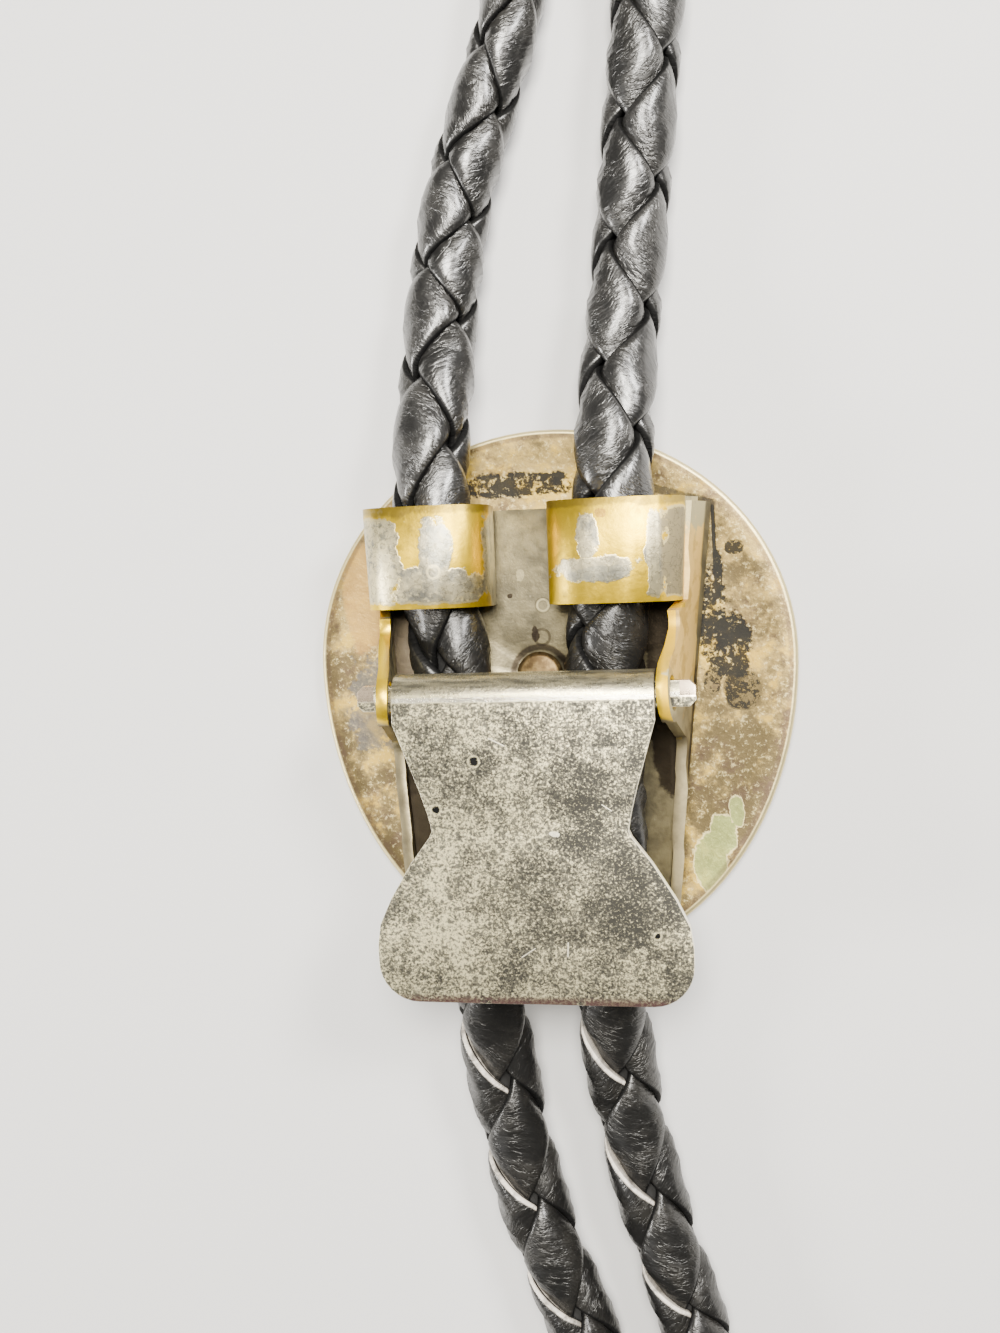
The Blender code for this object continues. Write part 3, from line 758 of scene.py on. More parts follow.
@dataclass(frozen=True)
class WornClipPlating:
    """Nickel over brass: gold where the plating has gone, silver-grey islands with pale rims."""

    gold: tuple = (0.86, 0.58, 0.008)
    deep_gold: tuple = (0.50, 0.34, 0.01)
    orange: tuple = (0.40, 0.24, 0.03)
    olive: tuple = (0.20, 0.14, 0.025)
    nickel: tuple = (0.46, 0.41, 0.26)
    dull_nickel: tuple = (0.25, 0.24, 0.195)
    pale: tuple = (0.72, 0.63, 0.36)
    base_light: tuple = (0.20, 0.172, 0.10)
    base_dark: tuple = (0.12, 0.105, 0.066)
    wall_grey: tuple = (0.47, 0.41, 0.23)
    wall_tan: tuple = (0.76, 0.52, 0.15)
    shoulder_shade: tuple = (0.30, 0.25, 0.14)
    flange_tan: tuple = (0.18, 0.14, 0.075)
    grime_and_shade: tuple = (0.02, 0.014, 0.01)
    worn_nickel: tuple = (0.27, 0.265, 0.21)
    base_fleck: tuple = (0.36, 0.32, 0.22)
    lip_grey: tuple = (0.38, 0.34, 0.22)
    left_islands: tuple = (
        (-6.95, 7.3, 1.05, 2.8),
        (-11.1, 7.3, 1.8, 3.6),
        (-7.0, 5.5, 3.0, 1.35),
        (-3.4, 7.5, 0.65, 3.6),
    )
    right_islands: tuple = (
        (3.3, 8.3, 0.75, 1.7),
        (3.7, 6.45, 2.8, 0.85),
        (7.8, 7.0, 0.6, 3.2),
        (10.2, 7.5, 2.3, 5.0),
    )
    dull_islands: tuple = ((-6.6, 8.3, 0.8, 1.5), (4.3, 6.1, 2.0, 0.5), (-11.0, 9.2, 0.9, 1.0))
    # Painted shade on the base beside the walls and cords: middle, half width and half height
    shade_patches: tuple = (
        (-10.4, 1.2, 1.7, 3.4),
        (7.7, 1.2, 1.2, 3.4),
        (-9.6, -9.5, 2.6, 8.0),
        (8.6, -5.0, 1.8, 5.0),
    )
    residue: tuple = ((-1.3, 1.9, 0.28, 0.5), (-3.0, 4.65, 0.18, 0.16))
    orange_spot: tuple = (4.3, 10.0, 0.4, 0.3)
    pale_spot: tuple = (-2.23, 6.11, 0.25, 0.45)
    film_spot: tuple = (10.0, 3.0, 1.7, 6.0)
    # Ring marks: middle, radius, half the line's width and strength
    loop_rings: tuple = ((-7.05, 6.55, 0.42, 0.12, 0.8), (-10.56, 8.43, 0.30, 0.10, 0.7))
    pale_rings: tuple = ((-0.69, 3.94, 0.42, 0.11, 0.35),)
    # Dark rings: the two small ones are grime marks, the wide one round the rivet is painted shadow
    grime_and_shadow_rings: tuple = (
        (-0.69, 3.94, 0.52, 0.09, 0.35),
        (-0.82, 1.69, 0.55, 0.14, 0.6),
        (-1.0, -0.95, 1.95, 0.32, 0.85),
    )
    loop_start: float = 3.6
    # Where smooth steps begin and end, across, along and up the clip
    left_end: tuple = (-8.6, -9.6)
    shoulder: tuple = (7.9, 8.3)
    shoulder_highlight: tuple = (7.2, 8.0)
    inner_side: float = 8.9
    island_bottom: tuple = (4.3, 4.6)
    island_top: tuple = (10.1, 10.4)
    worn_top: tuple = (10.35, 10.6)
    flange: tuple = (-2.5, -3.5)
    wall_foot: tuple = (2.5, 2.9)
    lip: tuple = (3.2, 3.5)
    edge: tuple = (3.9, 4.4)
    loop_bend: tuple = (5.4, 5.9)

    def make(self) -> bpy.types.Material:
        """Makes the clip's material.

        Returns:
            The material, with its nodes.
        """
        surface = Surface("worn_clip_plating")
        web, place = surface.web, surface.place
        fine = web.noise(place, 0.45, detail=5.0, rough=0.7)
        medium = web.noise(place, 1.7, detail=4.0, rough=0.6, shift=0.03)
        broad = web.noise(place, 4.5, detail=2.0, shift=0.06)
        sideways, lengthwise, height = (place.axis(name) for name in "XYZ")
        ragged = medium * 0.8 + fine * 0.2

        def rings(marks: tuple, colour: tuple) -> list[tuple]:
            """Gives the layers of some ring marks."""
            return [(web.ring(place, *mark) * strength, colour) for *mark, strength in marks]

        wavy = lengthwise + (ragged - 0.5) * 1.2 * MM
        island = web.patches(place, self.left_islands + self.right_islands, ragged, 2.0)
        island = island * (1.0 - wavy.between(self.island_top) * 0.9) * wavy.between(self.island_bottom)
        brass = web.layers(
            web.blend(broad.ramp(0.4, 0.64), self.deep_gold, self.gold),
            (web.spot(place, *self.orange_spot, medium), self.orange),
            (fine.ramp(0.62, 0.78) * 0.4, self.pale),
            (medium.ramp(0.60, 0.68) * 0.45, self.olive),
            (wavy.between(self.worn_top) * 0.7, self.olive),
        )
        # Painted shade on the face past the right loop's shoulder
        shoulder = sideways.between(self.shoulder)
        # Painted highlight: a pale strip where the right loop turns over its shoulder
        shoulder_highlight = sideways.above(self.shoulder_highlight[0] * MM) * sideways.below(self.shoulder_highlight[1] * MM)
        crackle = (web.noise(place, 0.7, detail=3.0, shift=0.08) - 0.5).size().ramp(0.03, 0.0)
        plating = web.layers(
            web.blend(medium.ramp(0.36, 0.6), self.dull_nickel, self.nickel),
            (fine.ramp(0.5, 0.66) * 0.6, self.pale),
            (web.patches(place, self.dull_islands, ragged, 2.0) * 0.6, self.worn_nickel),
            (sideways.between(self.left_end) * fine.ramp(0.38, 0.5) * 0.7, self.pale),
            (shoulder * 0.85, self.shoulder_shade),
            (shoulder_highlight * 0.5, self.pale),
            (crackle * 0.55, self.base_dark),
        )
        top = web.layers(
            web.blend(island, brass, plating),
            ((island * (1.0 - island) * 4.0).ramp(0.2, 0.9) * 0.6, self.pale),
            *rings(self.loop_rings, self.pale),
        )
        floor = web.layers(
            web.blend(medium.ramp(0.38, 0.66), self.base_dark, self.base_light),
            (fine.ramp(0.62, 0.76) * 0.3, self.base_fleck),
            # Painted shade: dark patches on the base beside the walls and cords
            (web.patches(place, self.shade_patches, ragged, 0.9) * 0.88, self.grime_and_shade),
            *rings(self.pale_rings, self.pale),
            *rings(self.grime_and_shadow_rings, self.grime_and_shade),
            (web.spot(place, *self.pale_spot, fine, 1.2) * 0.22, self.pale),
            (web.patches(place, self.residue, fine, 1.6) * 0.9, self.grime_and_shade),
        )
        facing = surface.facing_up.ramp(0.35, 0.7)
        edge = facing * height.between(self.edge) * (1.0 - sideways.above(self.inner_side * MM))
        lip = facing * height.between(self.lip) * (1.0 - edge)
        film = web.spot(place, *self.film_spot, ragged, 1.6)
        wall = web.layers(
            web.blend((broad * 0.5 + medium * 0.6).ramp(0.44, 0.60), self.base_dark, self.wall_grey),
            (film * 0.85, web.blend(medium.ramp(0.46, 0.62) * 0.7, self.wall_tan, self.orange)),
            (lengthwise.between(self.flange) * 0.65, self.flange_tan),
            (edge, web.blend(medium.ramp(0.62, 0.7), self.gold, self.pale)),
            (lip * 0.25, self.lip_grey),
        )
        on_loop = lengthwise.above(self.loop_start * MM) * height.between(self.loop_bend)
        colour = web.layers(floor, (height.between(self.wall_foot), wall), (on_loop, top))
        surface.set(Base_Color=colour, Metallic=0.9)
        surface.set(Roughness=0.24 + 0.2 * fine + 0.1 * medium + 0.3 * shoulder)
        surface.bump(fine * 0.5 + medium * 0.9 + island * on_loop * 0.5, 0.05, 0.6)
        return surface.material


@dataclass(frozen=True)
class TarnishedPlate:
    """Tarnished silver plate: tan and gold films, dark oxide, a pale green patch, a painted highlight along
    the rim.
    """

    tan: tuple = (0.105, 0.078, 0.034)
    light_tan: tuple = (0.345, 0.25, 0.085)
    gold: tuple = (0.54, 0.355, 0.05)
    oxide: tuple = (0.014, 0.015, 0.015)
    brown: tuple = (0.085, 0.055, 0.036)
    green: tuple = (0.31, 0.355, 0.115)
    orange: tuple = (0.40, 0.235, 0.06)
    grey: tuple = (0.10, 0.10, 0.10)
    bright: tuple = (0.76, 0.64, 0.32)
    oxide_patches: tuple = (
        (-2.6, 12.5, 4.2, 0.85),
        (11.0, 2.4, 1.0, 3.2),
        (12.3, 0.6, 1.35, 2.2),
        (11.5, 5.8, 0.3, 1.5),
    )
    broken_patches: tuple = ((13.0, -2.5, 1.3, 1.4), (10.9, -1.9, 0.6, 0.9), (12.64, 7.5, 0.7, 0.5))
    green_patches: tuple = ((10.5, -14.6, 1.2, 2.0), (11.5, -12.7, 0.9, 1.5), (12.4, -11.0, 0.5, 1.1))
    orange_spot: tuple = (-14.2, 4.8, 1.6, 4.2)
    grey_spot: tuple = (-13.6, -3.2, 1.8, 3.0)
    right_stroke: tuple = ((11.25, 10.4), (11.35, 4.6), 0.14)
    upper_stroke: tuple = ((7.0, 11.9), (11.1, 10.6), 0.3)
    lighter_side: tuple = (-12.0, 13.0)
    centre_x: float = -0.3
    half_width: float = 17.2
    top: float = 16.3
    bottom: float = 21.8

    def make(self) -> bpy.types.Material:
        """Makes the plate's material.

        Returns:
            The material, with its nodes.
        """
        surface = Surface("tarnished_plate")
        web, place = surface.web, surface.place
        fine = web.noise(place, 0.36, detail=6.0, rough=0.75)
        medium = web.noise(place, 1.5, detail=5.0, rough=0.65, shift=0.02)
        broad = web.noise(place, 5.5, detail=3.0, shift=0.05)
        lengthwise = place.axis("Y")
        lighter = lengthwise.between(self.lighter_side) * 0.06 - 0.025
        tone = broad * 0.5 + medium * 0.35 + fine * 0.2 + lighter
        worn = web.noise(place, 2.6, detail=6.0, rough=0.75, shift=0.09)
        green = web.patches(place, self.green_patches, medium, 1.2)
        ragged = medium * 0.55 + fine * 0.45
        gaps = (fine * 0.7 + medium * 0.4).ramp(0.57, 0.63) * 0.8
        broken = (fine * 0.6 + medium * 0.5).ramp(0.5, 0.56)
        dark = web.highest(
            web.patches(place, self.oxide_patches, ragged, 2.4) * (1.0 - gaps),
            web.patches(place, self.broken_patches, ragged, 1.0) * broken,
            web.stroke(place, *self.right_stroke, ragged),
            web.stroke(place, *self.upper_stroke, ragged) * 0.8,
            (fine * 0.75 + medium * 0.35).ramp(0.70, 0.76) * 0.7,
        )
        across = (place.axis("X") - self.centre_x * MM) / (self.half_width * MM)
        along = web.highest(lengthwise / (self.top * MM), lengthwise / (-self.bottom * MM))
        share = (across * across + along**2.0) ** 0.5
        colour = web.layers(
            web.blend(tone.ramp(0.46, 0.59), self.tan, self.light_tan),
            ((medium * 0.6 + broad * 0.5).ramp(0.57, 0.66) * 0.7, self.gold),
            (worn.ramp(0.50, 0.64) * 0.75, self.brown),
            (fine.ramp(0.54, 0.64) * 0.42, self.bright),
            (web.spot(place, *self.orange_spot, broad) * 0.7, self.orange),
            (web.spot(place, *self.grey_spot, medium, 2.4) * 0.6, self.grey),
            (green * (0.2 + 0.5 * fine + 0.6 * medium).clamp(), self.green),
            ((green * (1.0 - green) * 4.0).clamp() * 0.8, self.bright),
            (dark * 0.94, self.oxide),
            (share.ramp(0.955, 0.968) * (0.2 + 0.6 * medium), self.brown),
            # Painted highlight: a bright line along the rounded rim
            (share.ramp(0.978, 0.986) * 0.9, self.bright),
        )
        surface.set(Base_Color=colour, Metallic=0.8)
        surface.set(Roughness=0.33 + 0.22 * medium + 0.2 * dark)
        surface.bump(fine * 0.6 + medium * 0.9 - dark * 0.4, 0.05, 0.55)
        return surface.material


@dataclass(frozen=True)
class PlainMetal:
    """A plain metal with slight handling marks."""

    name: str
    colour: tuple
    shade: tuple
    roughness: float = 0.28

    def make(self) -> bpy.types.Material:
        """Makes the metal's material.

        Returns:
            The material, with its nodes.
        """
        surface = Surface(self.name)
        web, place = surface.web, surface.place
        marks = web.noise(place, 1.2, detail=5.0, rough=0.65)
        surface.set(Base_Color=web.blend(marks.ramp(0.4, 0.65), self.shade, self.colour))
        surface.set(Metallic=0.92, Roughness=self.roughness + 0.18 * marks)
        surface.bump(marks, 0.03, 0.5)
        return surface.material


@dataclass(frozen=True)
class PaleFloor:
    """The plain pale floor."""

    colour: tuple = (0.62, 0.62, 0.62)

    def make(self) -> bpy.types.Material:
        """Makes the floor's material.

        Returns:
            The material, with its nodes.
        """
        surface = Surface("pale_floor")
        surface.set(Base_Color=self.colour, Roughness=0.75)
        return surface.material


def link_mesh(name: str, bm: bmesh.types.BMesh, material: bpy.types.Material) -> bpy.types.Object:
    """Turns a bmesh into a smooth-shaded object with one material.

    Args:
        name: The piece's name.
        bm: The shape, which is freed.
        material: What it is made of.

    Returns:
        The new object, in the scene.
    """
    mesh = bpy.data.meshes.new(name)
    bm.to_mesh(mesh)
    bm.free()
    mesh.materials.append(material)
    mesh.shade_smooth()
    piece = bpy.data.objects.new(name, mesh)
    bpy.context.scene.collection.objects.link(piece)
    return piece


def settle(piece: bpy.types.Object) -> None:
    """Turns a piece's modifiers into plain mesh.

    Args:
        piece: The object, which gets the new mesh.
    """
    graph = bpy.context.evaluated_depsgraph_get()
    mesh = bpy.data.meshes.new_from_object(piece.evaluated_get(graph))
    piece.modifiers.clear()
    piece.data = mesh


@dataclass
class BraidedCord:
    """The 4-strand leather braid, from tip to tip."""

    route: list[Vector] = field(default_factory=lambda: smooth_route(CORD_ROUTE, 1.0 * MM))
    lace_width: float = 4.5 * MM
    lace_thickness: float = 0.95 * MM
    middle_radius: float = 1.62 * MM
    weave_depth: float = 0.40 * MM
    core_radius: float = 1.15 * MM
    half_turn: float = 8.3 * MM
    end_margin: float = 0.3 * MM
    end_share: float = 0.0001
    squareness: float = 0.62
    weave_softness: float = 0.22
    merge_distance: float = 1e-6
    steps_along: int = 1150
    steps_around: int = 16
    core_sides: int = 12

    def guide(self) -> bpy.types.Object:
        """Makes the line that the laces follow, with their turn and roll at each point.

        Returns:
            The line, in the scene.
        """
        mesh = bpy.data.meshes.new("braid_guide")
        edges = [(i, i + 1) for i in range(len(self.route) - 1)]
        mesh.from_pydata([tuple(p) for p in self.route], edges, [])
        wind = mesh.attributes.new("wind", "FLOAT_VECTOR", "POINT")
        spans = [(b - a).length for a, b in zip(self.route, self.route[1:])]
        whole = sum(spans)
        hidden = whole - LEFT_SEAMS[-1][0] - RIGHT_SEAMS[-1][0]
        loop_turns = round(hidden / self.half_turn)
        last_turn = LEFT_SEAMS[-1][1] + loop_turns + RIGHT_SEAMS[-1][1]
        seams = LEFT_SEAMS + [(whole - at, last_turn - turns) for at, turns in reversed(RIGHT_SEAMS)]
        rolls = LEFT_ROLL + [(whole - at, roll) for at, roll in reversed(RIGHT_ROLL)]
        widths = LEFT_WIDTH + [(whole - at, width) for at, width in reversed(RIGHT_WIDTH)]
        walked = 0.0
        for i, span in enumerate([0.0, *spans]):
            walked += span
            turn = math.pi * interpolate(seams, walked)
            roll = math.radians(interpolate(rolls, walked))
            wind.data[i].vector = (turn, roll, interpolate(widths, walked))
        guide = bpy.data.objects.new("braid_guide", mesh)
        bpy.context.scene.collection.objects.link(guide)
        return guide

    def lace_tree(self) -> bpy.types.NodeTree:
        """Builds the node tree that winds one lace round the guide.

        Returns:
            The tree, whose named inputs are the lace's sizes, direction, phase and material.
        """
        tree = bpy.data.node_groups.new("Braid lace", "GeometryNodeTree")
        web = Web(tree)
        face = tree.interface
        face.new_socket("Guide", in_out="INPUT", socket_type="NodeSocketGeometry")
        numbers = ["Lace Width", "Lace Thickness", "Middle Radius", "Weave Depth"]
        numbers += ["Direction", "Phase", "Lay Angle", "End Margin"]
        for name in numbers:
            face.new_socket(name, in_out="INPUT", socket_type="NodeSocketFloat")
        for name in ("Steps Along", "Steps Around"):
            face.new_socket(name, in_out="INPUT", socket_type="NodeSocketInt")
        face.new_socket("Leather", in_out="INPUT", socket_type="NodeSocketMaterial")
        face.new_socket("Geometry", in_out="OUTPUT", socket_type="NodeSocketGeometry")
        entry = tree.nodes.new("NodeGroupInput")
        given = {socket.name: Field(web, socket) for socket in entry.outputs}

        curve = web.field("GeometryNodeMeshToCurve", Mesh=given["Guide"])
        length = web.field("GeometryNodeCurveLength", Curve=curve)
        wind = web.node("GeometryNodeInputNamedAttribute")
        wind.data_type = "FLOAT_VECTOR"
        wind.inputs["Name"].default_value = "wind"
        winding = Field(web, wind.outputs["Attribute"])

        steps = {"Vertices_X": given["Steps Along"], "Vertices_Y": given["Steps Around"]}
        grid = web.field("GeometryNodeMeshGrid", "Mesh", Size_X=1.0, Size_Y=1.0, **steps)
        cell = web.field("GeometryNodeInputPosition")
        along = cell.axis("X") + 0.5
        around = (cell.axis("Y") + 0.5) * (2 * math.pi)
        inside = along.above(self.end_share) * along.below(1.0 - self.end_share)
        across = around.cos().sign() * around.cos().size() ** self.squareness
        outward = around.sin().sign() * around.sin().size() ** self.squareness
        across = across * given["Lace Width"] * 0.5 * inside
        outward = outward * given["Lace Thickness"] * 0.5 * inside

        def sample(at: Field) -> tuple[Field, ...]:
            """Reads the guide at a length.

            Args:
                at: The length along it.

            Returns:
                The wind attribute, the place and the direction there.
            """
            node = web.node("GeometryNodeSampleCurve")
            node.data_type = "FLOAT_VECTOR"
            node.mode = "LENGTH"
            for name, value in (("Curves", curve), ("Value", winding), ("Length", at)):
                web.feed(node.inputs[name], value)
            return tuple(Field(web, node.outputs[k]) for k in ("Value", "Position", "Tangent"))

        centre = given["End Margin"] + along * (length - given["End Margin"] * 2.0)
        wind_centre, _, _ = sample(centre)
        reached = centre - given["Direction"] * across * given["Lay Angle"].sin()
        wind_here, place, forward = sample(reached)
        arc = across * given["Lay Angle"].cos() / (given["Middle Radius"] + given["Weave Depth"])
        angle = given["Direction"] * wind_centre.axis("X") + given["Phase"] + arc
        crossing = angle + given["Direction"] * wind_here.axis("X") - given["Phase"]
        over = given["Direction"] * crossing.cos()
        lift = over / (over * over + self.weave_softness) ** 0.5 * math.sqrt(1.0 + self.weave_softness)
        radius = given["Middle Radius"] + given["Weave Depth"] * lift + outward
        turned = angle + wind_here.axis("Y")
        side = forward.vector("CROSS_PRODUCT", (0.0, 0.0, 1.0)).vector("NORMALIZE", (0.0, 0.0, 0.0))
        up = side.vector("CROSS_PRODUCT", forward)
        spoke = side.scaled(turned.sin() * wind_here.axis("Z")).vector("ADD", up.scaled(turned.cos()))
        goal = place.vector("ADD", spoke.scaled(radius))

        marked = across + given["Direction"] * HAND_OFFSET
        mapped = web.field("ShaderNodeCombineXYZ", X=centre, Y=marked)
        stored = web.node("GeometryNodeStoreNamedAttribute", Geometry=grid)
        stored.data_type = "FLOAT2"
        stored.domain = "CORNER"
        stored.inputs["Name"].default_value = LACE_MAP
        web.feed(stored.inputs["Value"], mapped)
        lace = web.field("GeometryNodeSetPosition", Geometry=Field(web, stored.outputs[0]), Position=goal)
        lace = web.field("GeometryNodeMergeByDistance", Geometry=lace, Distance=self.merge_distance)
        lace = web.field("GeometryNodeSetShadeSmooth", Geometry=lace)
        lace = web.field("GeometryNodeRealizeInstances", Geometry=lace)
        lace = web.field("GeometryNodeSetMaterial", Geometry=lace, Material=given["Leather"])
        leave = tree.nodes.new("NodeGroupOutput")
        web.feed(leave.inputs[0], lace)
        return tree

    def lace(
        self, tree: bpy.types.NodeTree, direction: Direction, phase: float, leather: bpy.types.Material
    ) -> bpy.types.Mesh:
        """Winds one lace round the guide.

        Args:
            tree: The node tree that winds it.
            direction: Which way it winds.
            phase: Where it starts, in radians round the cord.
            leather: What it is made of.

        Returns:
            The lace's plain mesh.
        """
        guide = self.guide()
        modifier = guide.modifiers.new("lace", "NODES")
        modifier.node_group = tree
        lay = math.atan(math.pi * (self.middle_radius + self.weave_depth) / self.half_turn)
        values = {
            "Lace Width": self.lace_width,
            "Lace Thickness": self.lace_thickness,
            "Middle Radius": self.middle_radius,
            "Weave Depth": self.weave_depth,
            "Direction": direction.value,
            "Phase": phase,
            "Lay Angle": lay,
            "End Margin": self.end_margin,
            "Steps Along": self.steps_along,
            "Steps Around": self.steps_around,
            "Leather": leather,
        }
        for item in tree.interface.items_tree:
            if item.name in values and item.in_out == "INPUT":
                modifier[item.identifier] = values[item.name]
        settle(guide)
        mesh = guide.data
        bpy.data.objects.remove(guide)
        return mesh

    def core(self, bm: bmesh.types.BMesh) -> list[bmesh.types.BMFace]:
        """Adds the core as one closed tube.

        Args:
            bm: The shape to add it to.

        Returns:
            The core's faces.
        """
        rings = []
        for i, point in enumerate(self.route):
            before = self.route[max(0, i - 1)]
            after = self.route[min(len(self.route) - 1, i + 1)]
            forward = (after - before).normalized()
            side = forward.cross(Vector((0, 0, 1))).normalized()
            up = side.cross(forward)
            ring = []
            for k in range(self.core_sides):
                turn = 2 * math.pi * k / self.core_sides
                spoke = side * math.sin(turn) + up * math.cos(turn)
                ring.append(bm.verts.new(point + spoke * self.core_radius))
            rings.append(ring)
        faces = [bm.faces.new(rings[0]), bm.faces.new(list(reversed(rings[-1])))]
        for near, far in zip(rings, rings[1:]):
            for k in range(self.core_sides):
                j = (k + 1) % self.core_sides
                faces.append(bm.faces.new((near[k], far[k], far[j], near[j])))
        return faces

    def build(self) -> bpy.types.Object:
        """Makes the whole braid as one piece, with its laces and its core.

        Returns:
            The braid.
        """
        tree = self.lace_tree()
        leather = BraidLeather(cord_length=route_length(self.route), lace_width=self.lace_width).make()
        bm = bmesh.new()
        for direction in Direction:
            for phase in (0.0, math.pi):
                bm.from_mesh(self.lace(tree, direction, phase, leather))
        bmesh.ops.recalc_face_normals(bm, faces=bm.faces)
        for face in bm.faces:
            face.material_index = 0
        core_faces = self.core(bm)
        for face in core_faces:
            face.material_index = 1
        bmesh.ops.recalc_face_normals(bm, faces=core_faces)
        braid = link_mesh("cord_braid", bm, leather)
        braid.data.materials.append(DarkFilling().make())
        return braid


@dataclass
class MetalTip:
    """A plain metal tip that takes one end of the cord."""

    name: str
    node: str
    end: Vector
    before: Vector
    radius: float = 2.95 * MM
    collar: float = 0.25 * MM
    length: float = 25.0 * MM
    bore_depth: float = 4.5 * MM
    nose: float = 2.0 * MM
    gap: float = 0.3 * MM
    # Points of the mouth and of the collar: how far outside their radius, and how far from the mouth
    mouth_edge: tuple = ((0.0, 0.12 * MM), (0.08 * MM, 0.0))
    collar_edge: tuple = ((-0.1 * MM, 0.0), (0.0, 0.1 * MM), (0.0, 1.1 * MM), (-0.1 * MM, 1.25 * MM))
    shaft_start: float = 1.6 * MM
    waist: float = 0.97
    taper: float = 0.93
    nose_steps: int = 8
    sides: int = 64

    def profile(self) -> list[tuple[float, float]]:
        """Lays out the tip's section.

        Returns:
            Points as radius and distance from the mouth, from the bore's floor to the nose.
        """
        bore = CORD_RADIUS + self.gap
        lip = self.radius + self.collar
        shaft = self.length - self.nose
        end = self.radius * self.taper
        points = [(0.0, self.bore_depth), (bore, self.bore_depth)]
        points += [(bore + out, height) for out, height in self.mouth_edge]
        points += [(lip + out, height) for out, height in self.collar_edge]
        points += [(self.radius, self.shaft_start), (self.radius * self.waist, shaft * 0.5), (end, shaft)]
        for k in range(1, self.nose_steps):
            turn = math.pi / 2 * k / self.nose_steps
            points.append((end * math.cos(turn), shaft + self.nose * math.sin(turn)))
        points.append((0.0, self.length))
        return points

    def build(self, metal: bpy.types.Material) -> bpy.types.Object:
        """Turns the tip and sets it on its end of the cord.

        Args:
            metal: What it is made of.

        Returns:
            The tip, riding on the slide.
        """
        way = (self.end - self.before).normalized()
        mouth = self.end - way * (self.bore_depth - self.gap)
        place = Matrix.Translation(mouth) @ way.to_track_quat("Z", "Y").to_matrix().to_4x4()
        bm = bmesh.new()
        rings = []
        for radius, height in self.profile():
            if radius == 0.0:
                rings.append([bm.verts.new((0.0, 0.0, height))])
                continue
            turns = [2 * math.pi * k / self.sides for k in range(self.sides)]
            rings.append([bm.verts.new((radius * math.cos(t), radius * math.sin(t), height)) for t in turns])
        for near, far in zip(rings, rings[1:]):
            for k in range(self.sides):
                j = (k + 1) % self.sides
                if len(near) == 1:
                    bm.faces.new((near[0], far[j], far[k]))
                elif len(far) == 1:
                    bm.faces.new((near[k], near[j], far[0]))
                else:
                    bm.faces.new((near[k], near[j], far[j], far[k]))
        bmesh.ops.transform(bm, matrix=place, verts=bm.verts)
        bmesh.ops.recalc_face_normals(bm, faces=bm.faces)
        tip = link_mesh(self.name, bm, metal)
        tip.data.set_sharp_from_angle(angle=SHARP_ANGLE)
        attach(tip, "slide")
        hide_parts(self.node)
        return tip


@dataclass
class SheetPart:
    """A sheet-metal piece: the frame's own shape with its edges rounded."""

    name: str
    node: str
    body: str
    slot: str
    round_width: float = 0.12 * MM
    segments: int = 2
    merge_distance: float = 0.000005
    flat_angle: float = math.radians(0.8)

    def build(self, source: bpy.types.Object, metal: bpy.types.Material) -> bpy.types.Object:
        """Copies the frame's solid, cleans it and rounds its edges.

        Args:
            source: The frame's object.
            metal: What the piece is made of.

        Returns:
            The finished piece, riding on its body.
        """
        bm = bmesh.new()
        bm.from_mesh(source.data)
        bmesh.ops.remove_doubles(bm, verts=bm.verts, dist=self.merge_distance)
        bmesh.ops.dissolve_limit(bm, angle_limit=self.flat_angle, verts=bm.verts, edges=bm.edges)
        bmesh.ops.recalc_face_normals(bm, faces=bm.faces)
        piece = link_mesh(self.name, bm, metal)
        bevel = piece.modifiers.new("rounded", "BEVEL")
        bevel.width = self.round_width
        bevel.segments = self.segments
        bevel.limit_method = "ANGLE"
        bevel.angle_limit = SHARP_ANGLE
        bevel.harden_normals = True
        settle(piece)
        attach(piece, self.body)
        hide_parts(self.node)
        return piece


@dataclass(frozen=True)
class Lamp:
    """A square soft light that faces the slide."""

    name: str
    place: tuple
    size: float
    power: float
    colour: tuple

    def build(self) -> None:
        """Adds the light to the scene."""
        data = bpy.data.lights.new(self.name, "AREA")
        data.energy = self.power
        data.size = self.size
        data.color = self.colour
        lamp = bpy.data.objects.new(self.name, data)
        lamp.location = self.place
        lamp.rotation_euler = (-Vector(self.place)).to_track_quat("-Z", "Y").to_euler()
        bpy.context.scene.collection.objects.link(lamp)


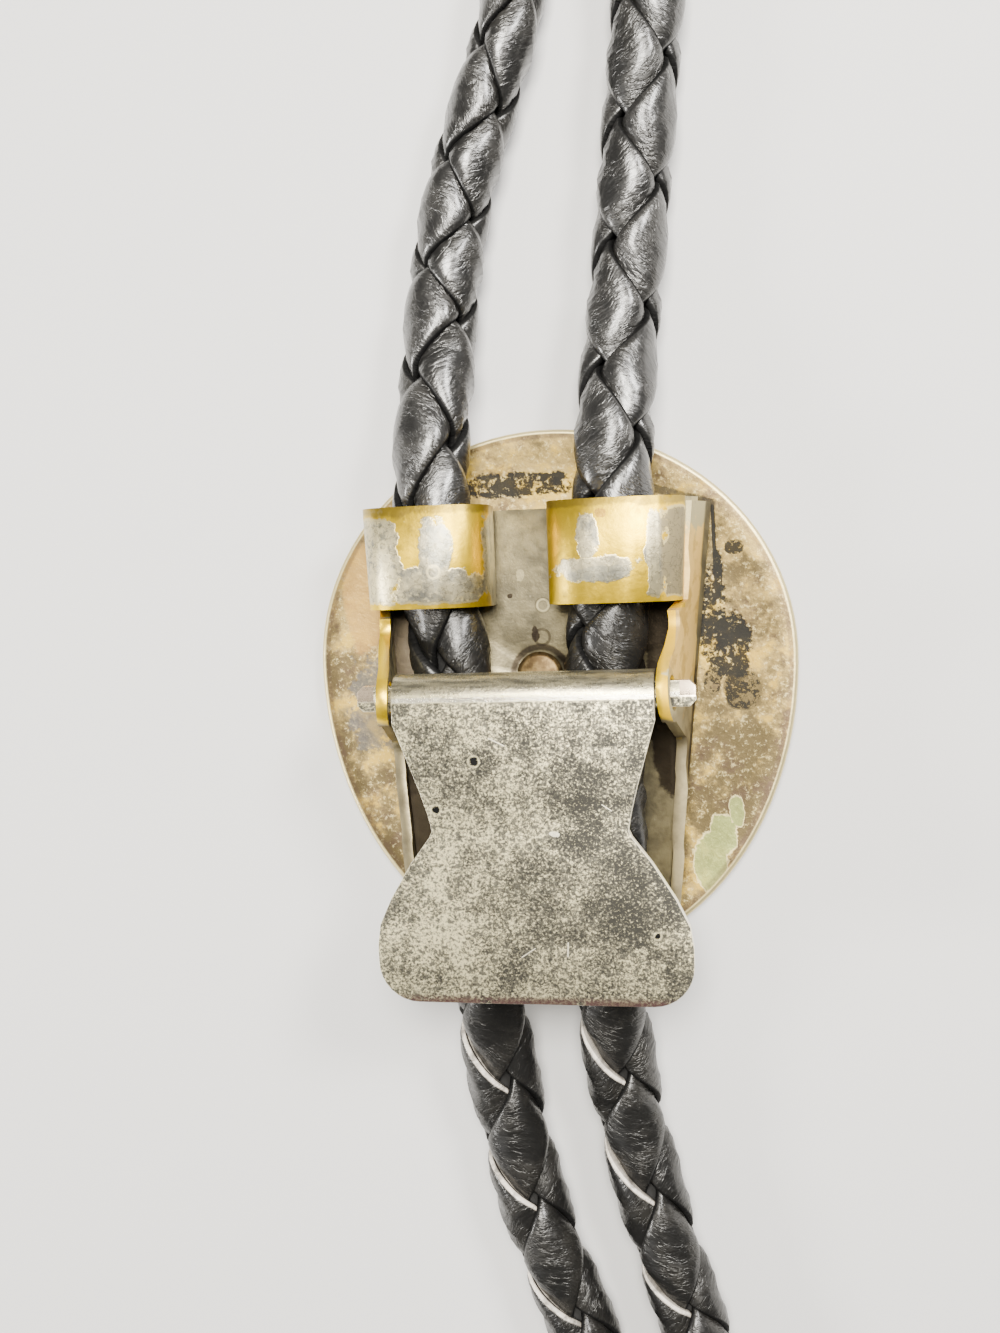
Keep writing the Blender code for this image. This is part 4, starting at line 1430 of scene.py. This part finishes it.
@dataclass
class Studio:
    """The camera at the photograph's angle, the pale floor and the soft light."""

    tilt_right: float = 11.0
    tilt_up: float = 4.0
    roll: float = -2.12
    distance: float = 102.0 * MM
    aim: tuple = (-4.4 * MM, -0.5 * MM, 0.0)
    pixel_at_slide: float = 0.0715 * MM
    camera_height: float = 100.0 * MM
    picture_high: int = 1333
    sensor: float = 36.0
    lamps: tuple = (
        Lamp("key", (0.03, 0.10, 0.30), 0.12, 3.1, (1.0, 0.955, 0.87)),
        Lamp("side", (0.20, 0.16, 0.24), 0.08, 1.7, (1.0, 0.97, 0.93)),
        Lamp("rim", (-0.24, -0.06, 0.13), 0.06, 0.8, (1.0, 0.97, 0.92)),
        Lamp("fill", (-0.25, -0.16, 0.30), 0.30, 0.3, (1.0, 0.98, 0.95)),
    )
    sky_colour: tuple = (0.80, 0.79, 0.76, 1.0)
    sky_strength: float = 0.14
    floor_size: float = 3.0

    def camera(self) -> None:
        """Sets the camera over the slide, a little to the right and towards the neck loop."""
        right, up = math.radians(self.tilt_right), math.radians(self.tilt_up)
        back = Vector((math.sin(right) * math.cos(up), math.sin(up), math.cos(right) * math.cos(up)))
        data = bpy.data.cameras.new("camera")
        data.sensor_width = self.sensor
        focal_pixels = self.camera_height / self.pixel_at_slide
        data.lens = self.sensor * focal_pixels / self.picture_high
        data.clip_start = 1.0 * MM
        side = Vector((0.0, 1.0, 0.0)).cross(back).normalized()
        top = back.cross(side)
        turn = Matrix((side, top, back)).transposed().to_4x4()
        turn = turn @ Matrix.Rotation(math.radians(self.roll), 4, "Z")
        camera = bpy.data.objects.new("camera", data)
        camera.matrix_world = Matrix.Translation(Vector(self.aim) + back * self.distance) @ turn
        bpy.context.scene.collection.objects.link(camera)
        bpy.context.scene.camera = camera

    def build(self) -> None:
        """Makes the whole studio."""
        self.camera()
        for lamp in self.lamps:
            lamp.build()
        world = bpy.data.worlds.new("studio")
        world.use_nodes = True
        sky = world.node_tree.nodes["Background"]
        sky.inputs["Color"].default_value = self.sky_colour
        sky.inputs["Strength"].default_value = self.sky_strength
        bpy.context.scene.world = world
        bm = bmesh.new()
        bmesh.ops.create_grid(bm, x_segments=1, y_segments=1, size=self.floor_size)
        floor = link_mesh("floor", bm, PaleFloor().make())


def main() -> None:
    """Builds every piece of the tie, dresses it and sets the scene."""
    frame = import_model()
    nodes = frame["nodes"]
    Studio().build()

    cord = BraidedCord()
    braid = cord.build()
    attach(braid, "slide")
    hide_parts("cord")
    LOG.info("cord_braid: %d faces", len(braid.data.polygons))

    tip_metal = PlainMetal("tip_nickel", (0.66, 0.65, 0.61), (0.46, 0.45, 0.42), 0.2).make()
    ends = [Vector(p) for p in CORD_ROUTE]
    left = MetalTip("left_tip", "tip_left", ends[0], ends[1]).build(tip_metal)
    right = MetalTip("right_tip", "tip_right", ends[-1], ends[-2]).build(tip_metal)

    plate = SheetPart("plate", "slide_plate", "slide", "plate_metal", round_width=0.1 * MM)
    plate.build(nodes["slide_plate"], TarnishedPlate().make())
    clip = SheetPart("clip", "clip_body", "slide", "clip_metal", round_width=0.14 * MM)
    clip.build(nodes["clip_body"], WornClipPlating().make())
    rivet = SheetPart("rivet", "clip_rivet", "slide", "brass", round_width=0.1 * MM)
    brass = PlainMetal("rivet_brass", (0.19, 0.13, 0.055), (0.07, 0.045, 0.02), 0.38).make()
    rivet.build(nodes["clip_rivet"], brass)
    lever = SheetPart("lever", "clip_lever", "lever", "lever_metal", round_width=0.34 * MM, segments=4)
    lever.build(nodes["clip_lever"], LeverPlating().make())
    LOG.info("slide dressed")


if __name__ == "__main__":
    logging.basicConfig(level=logging.INFO)
    main()
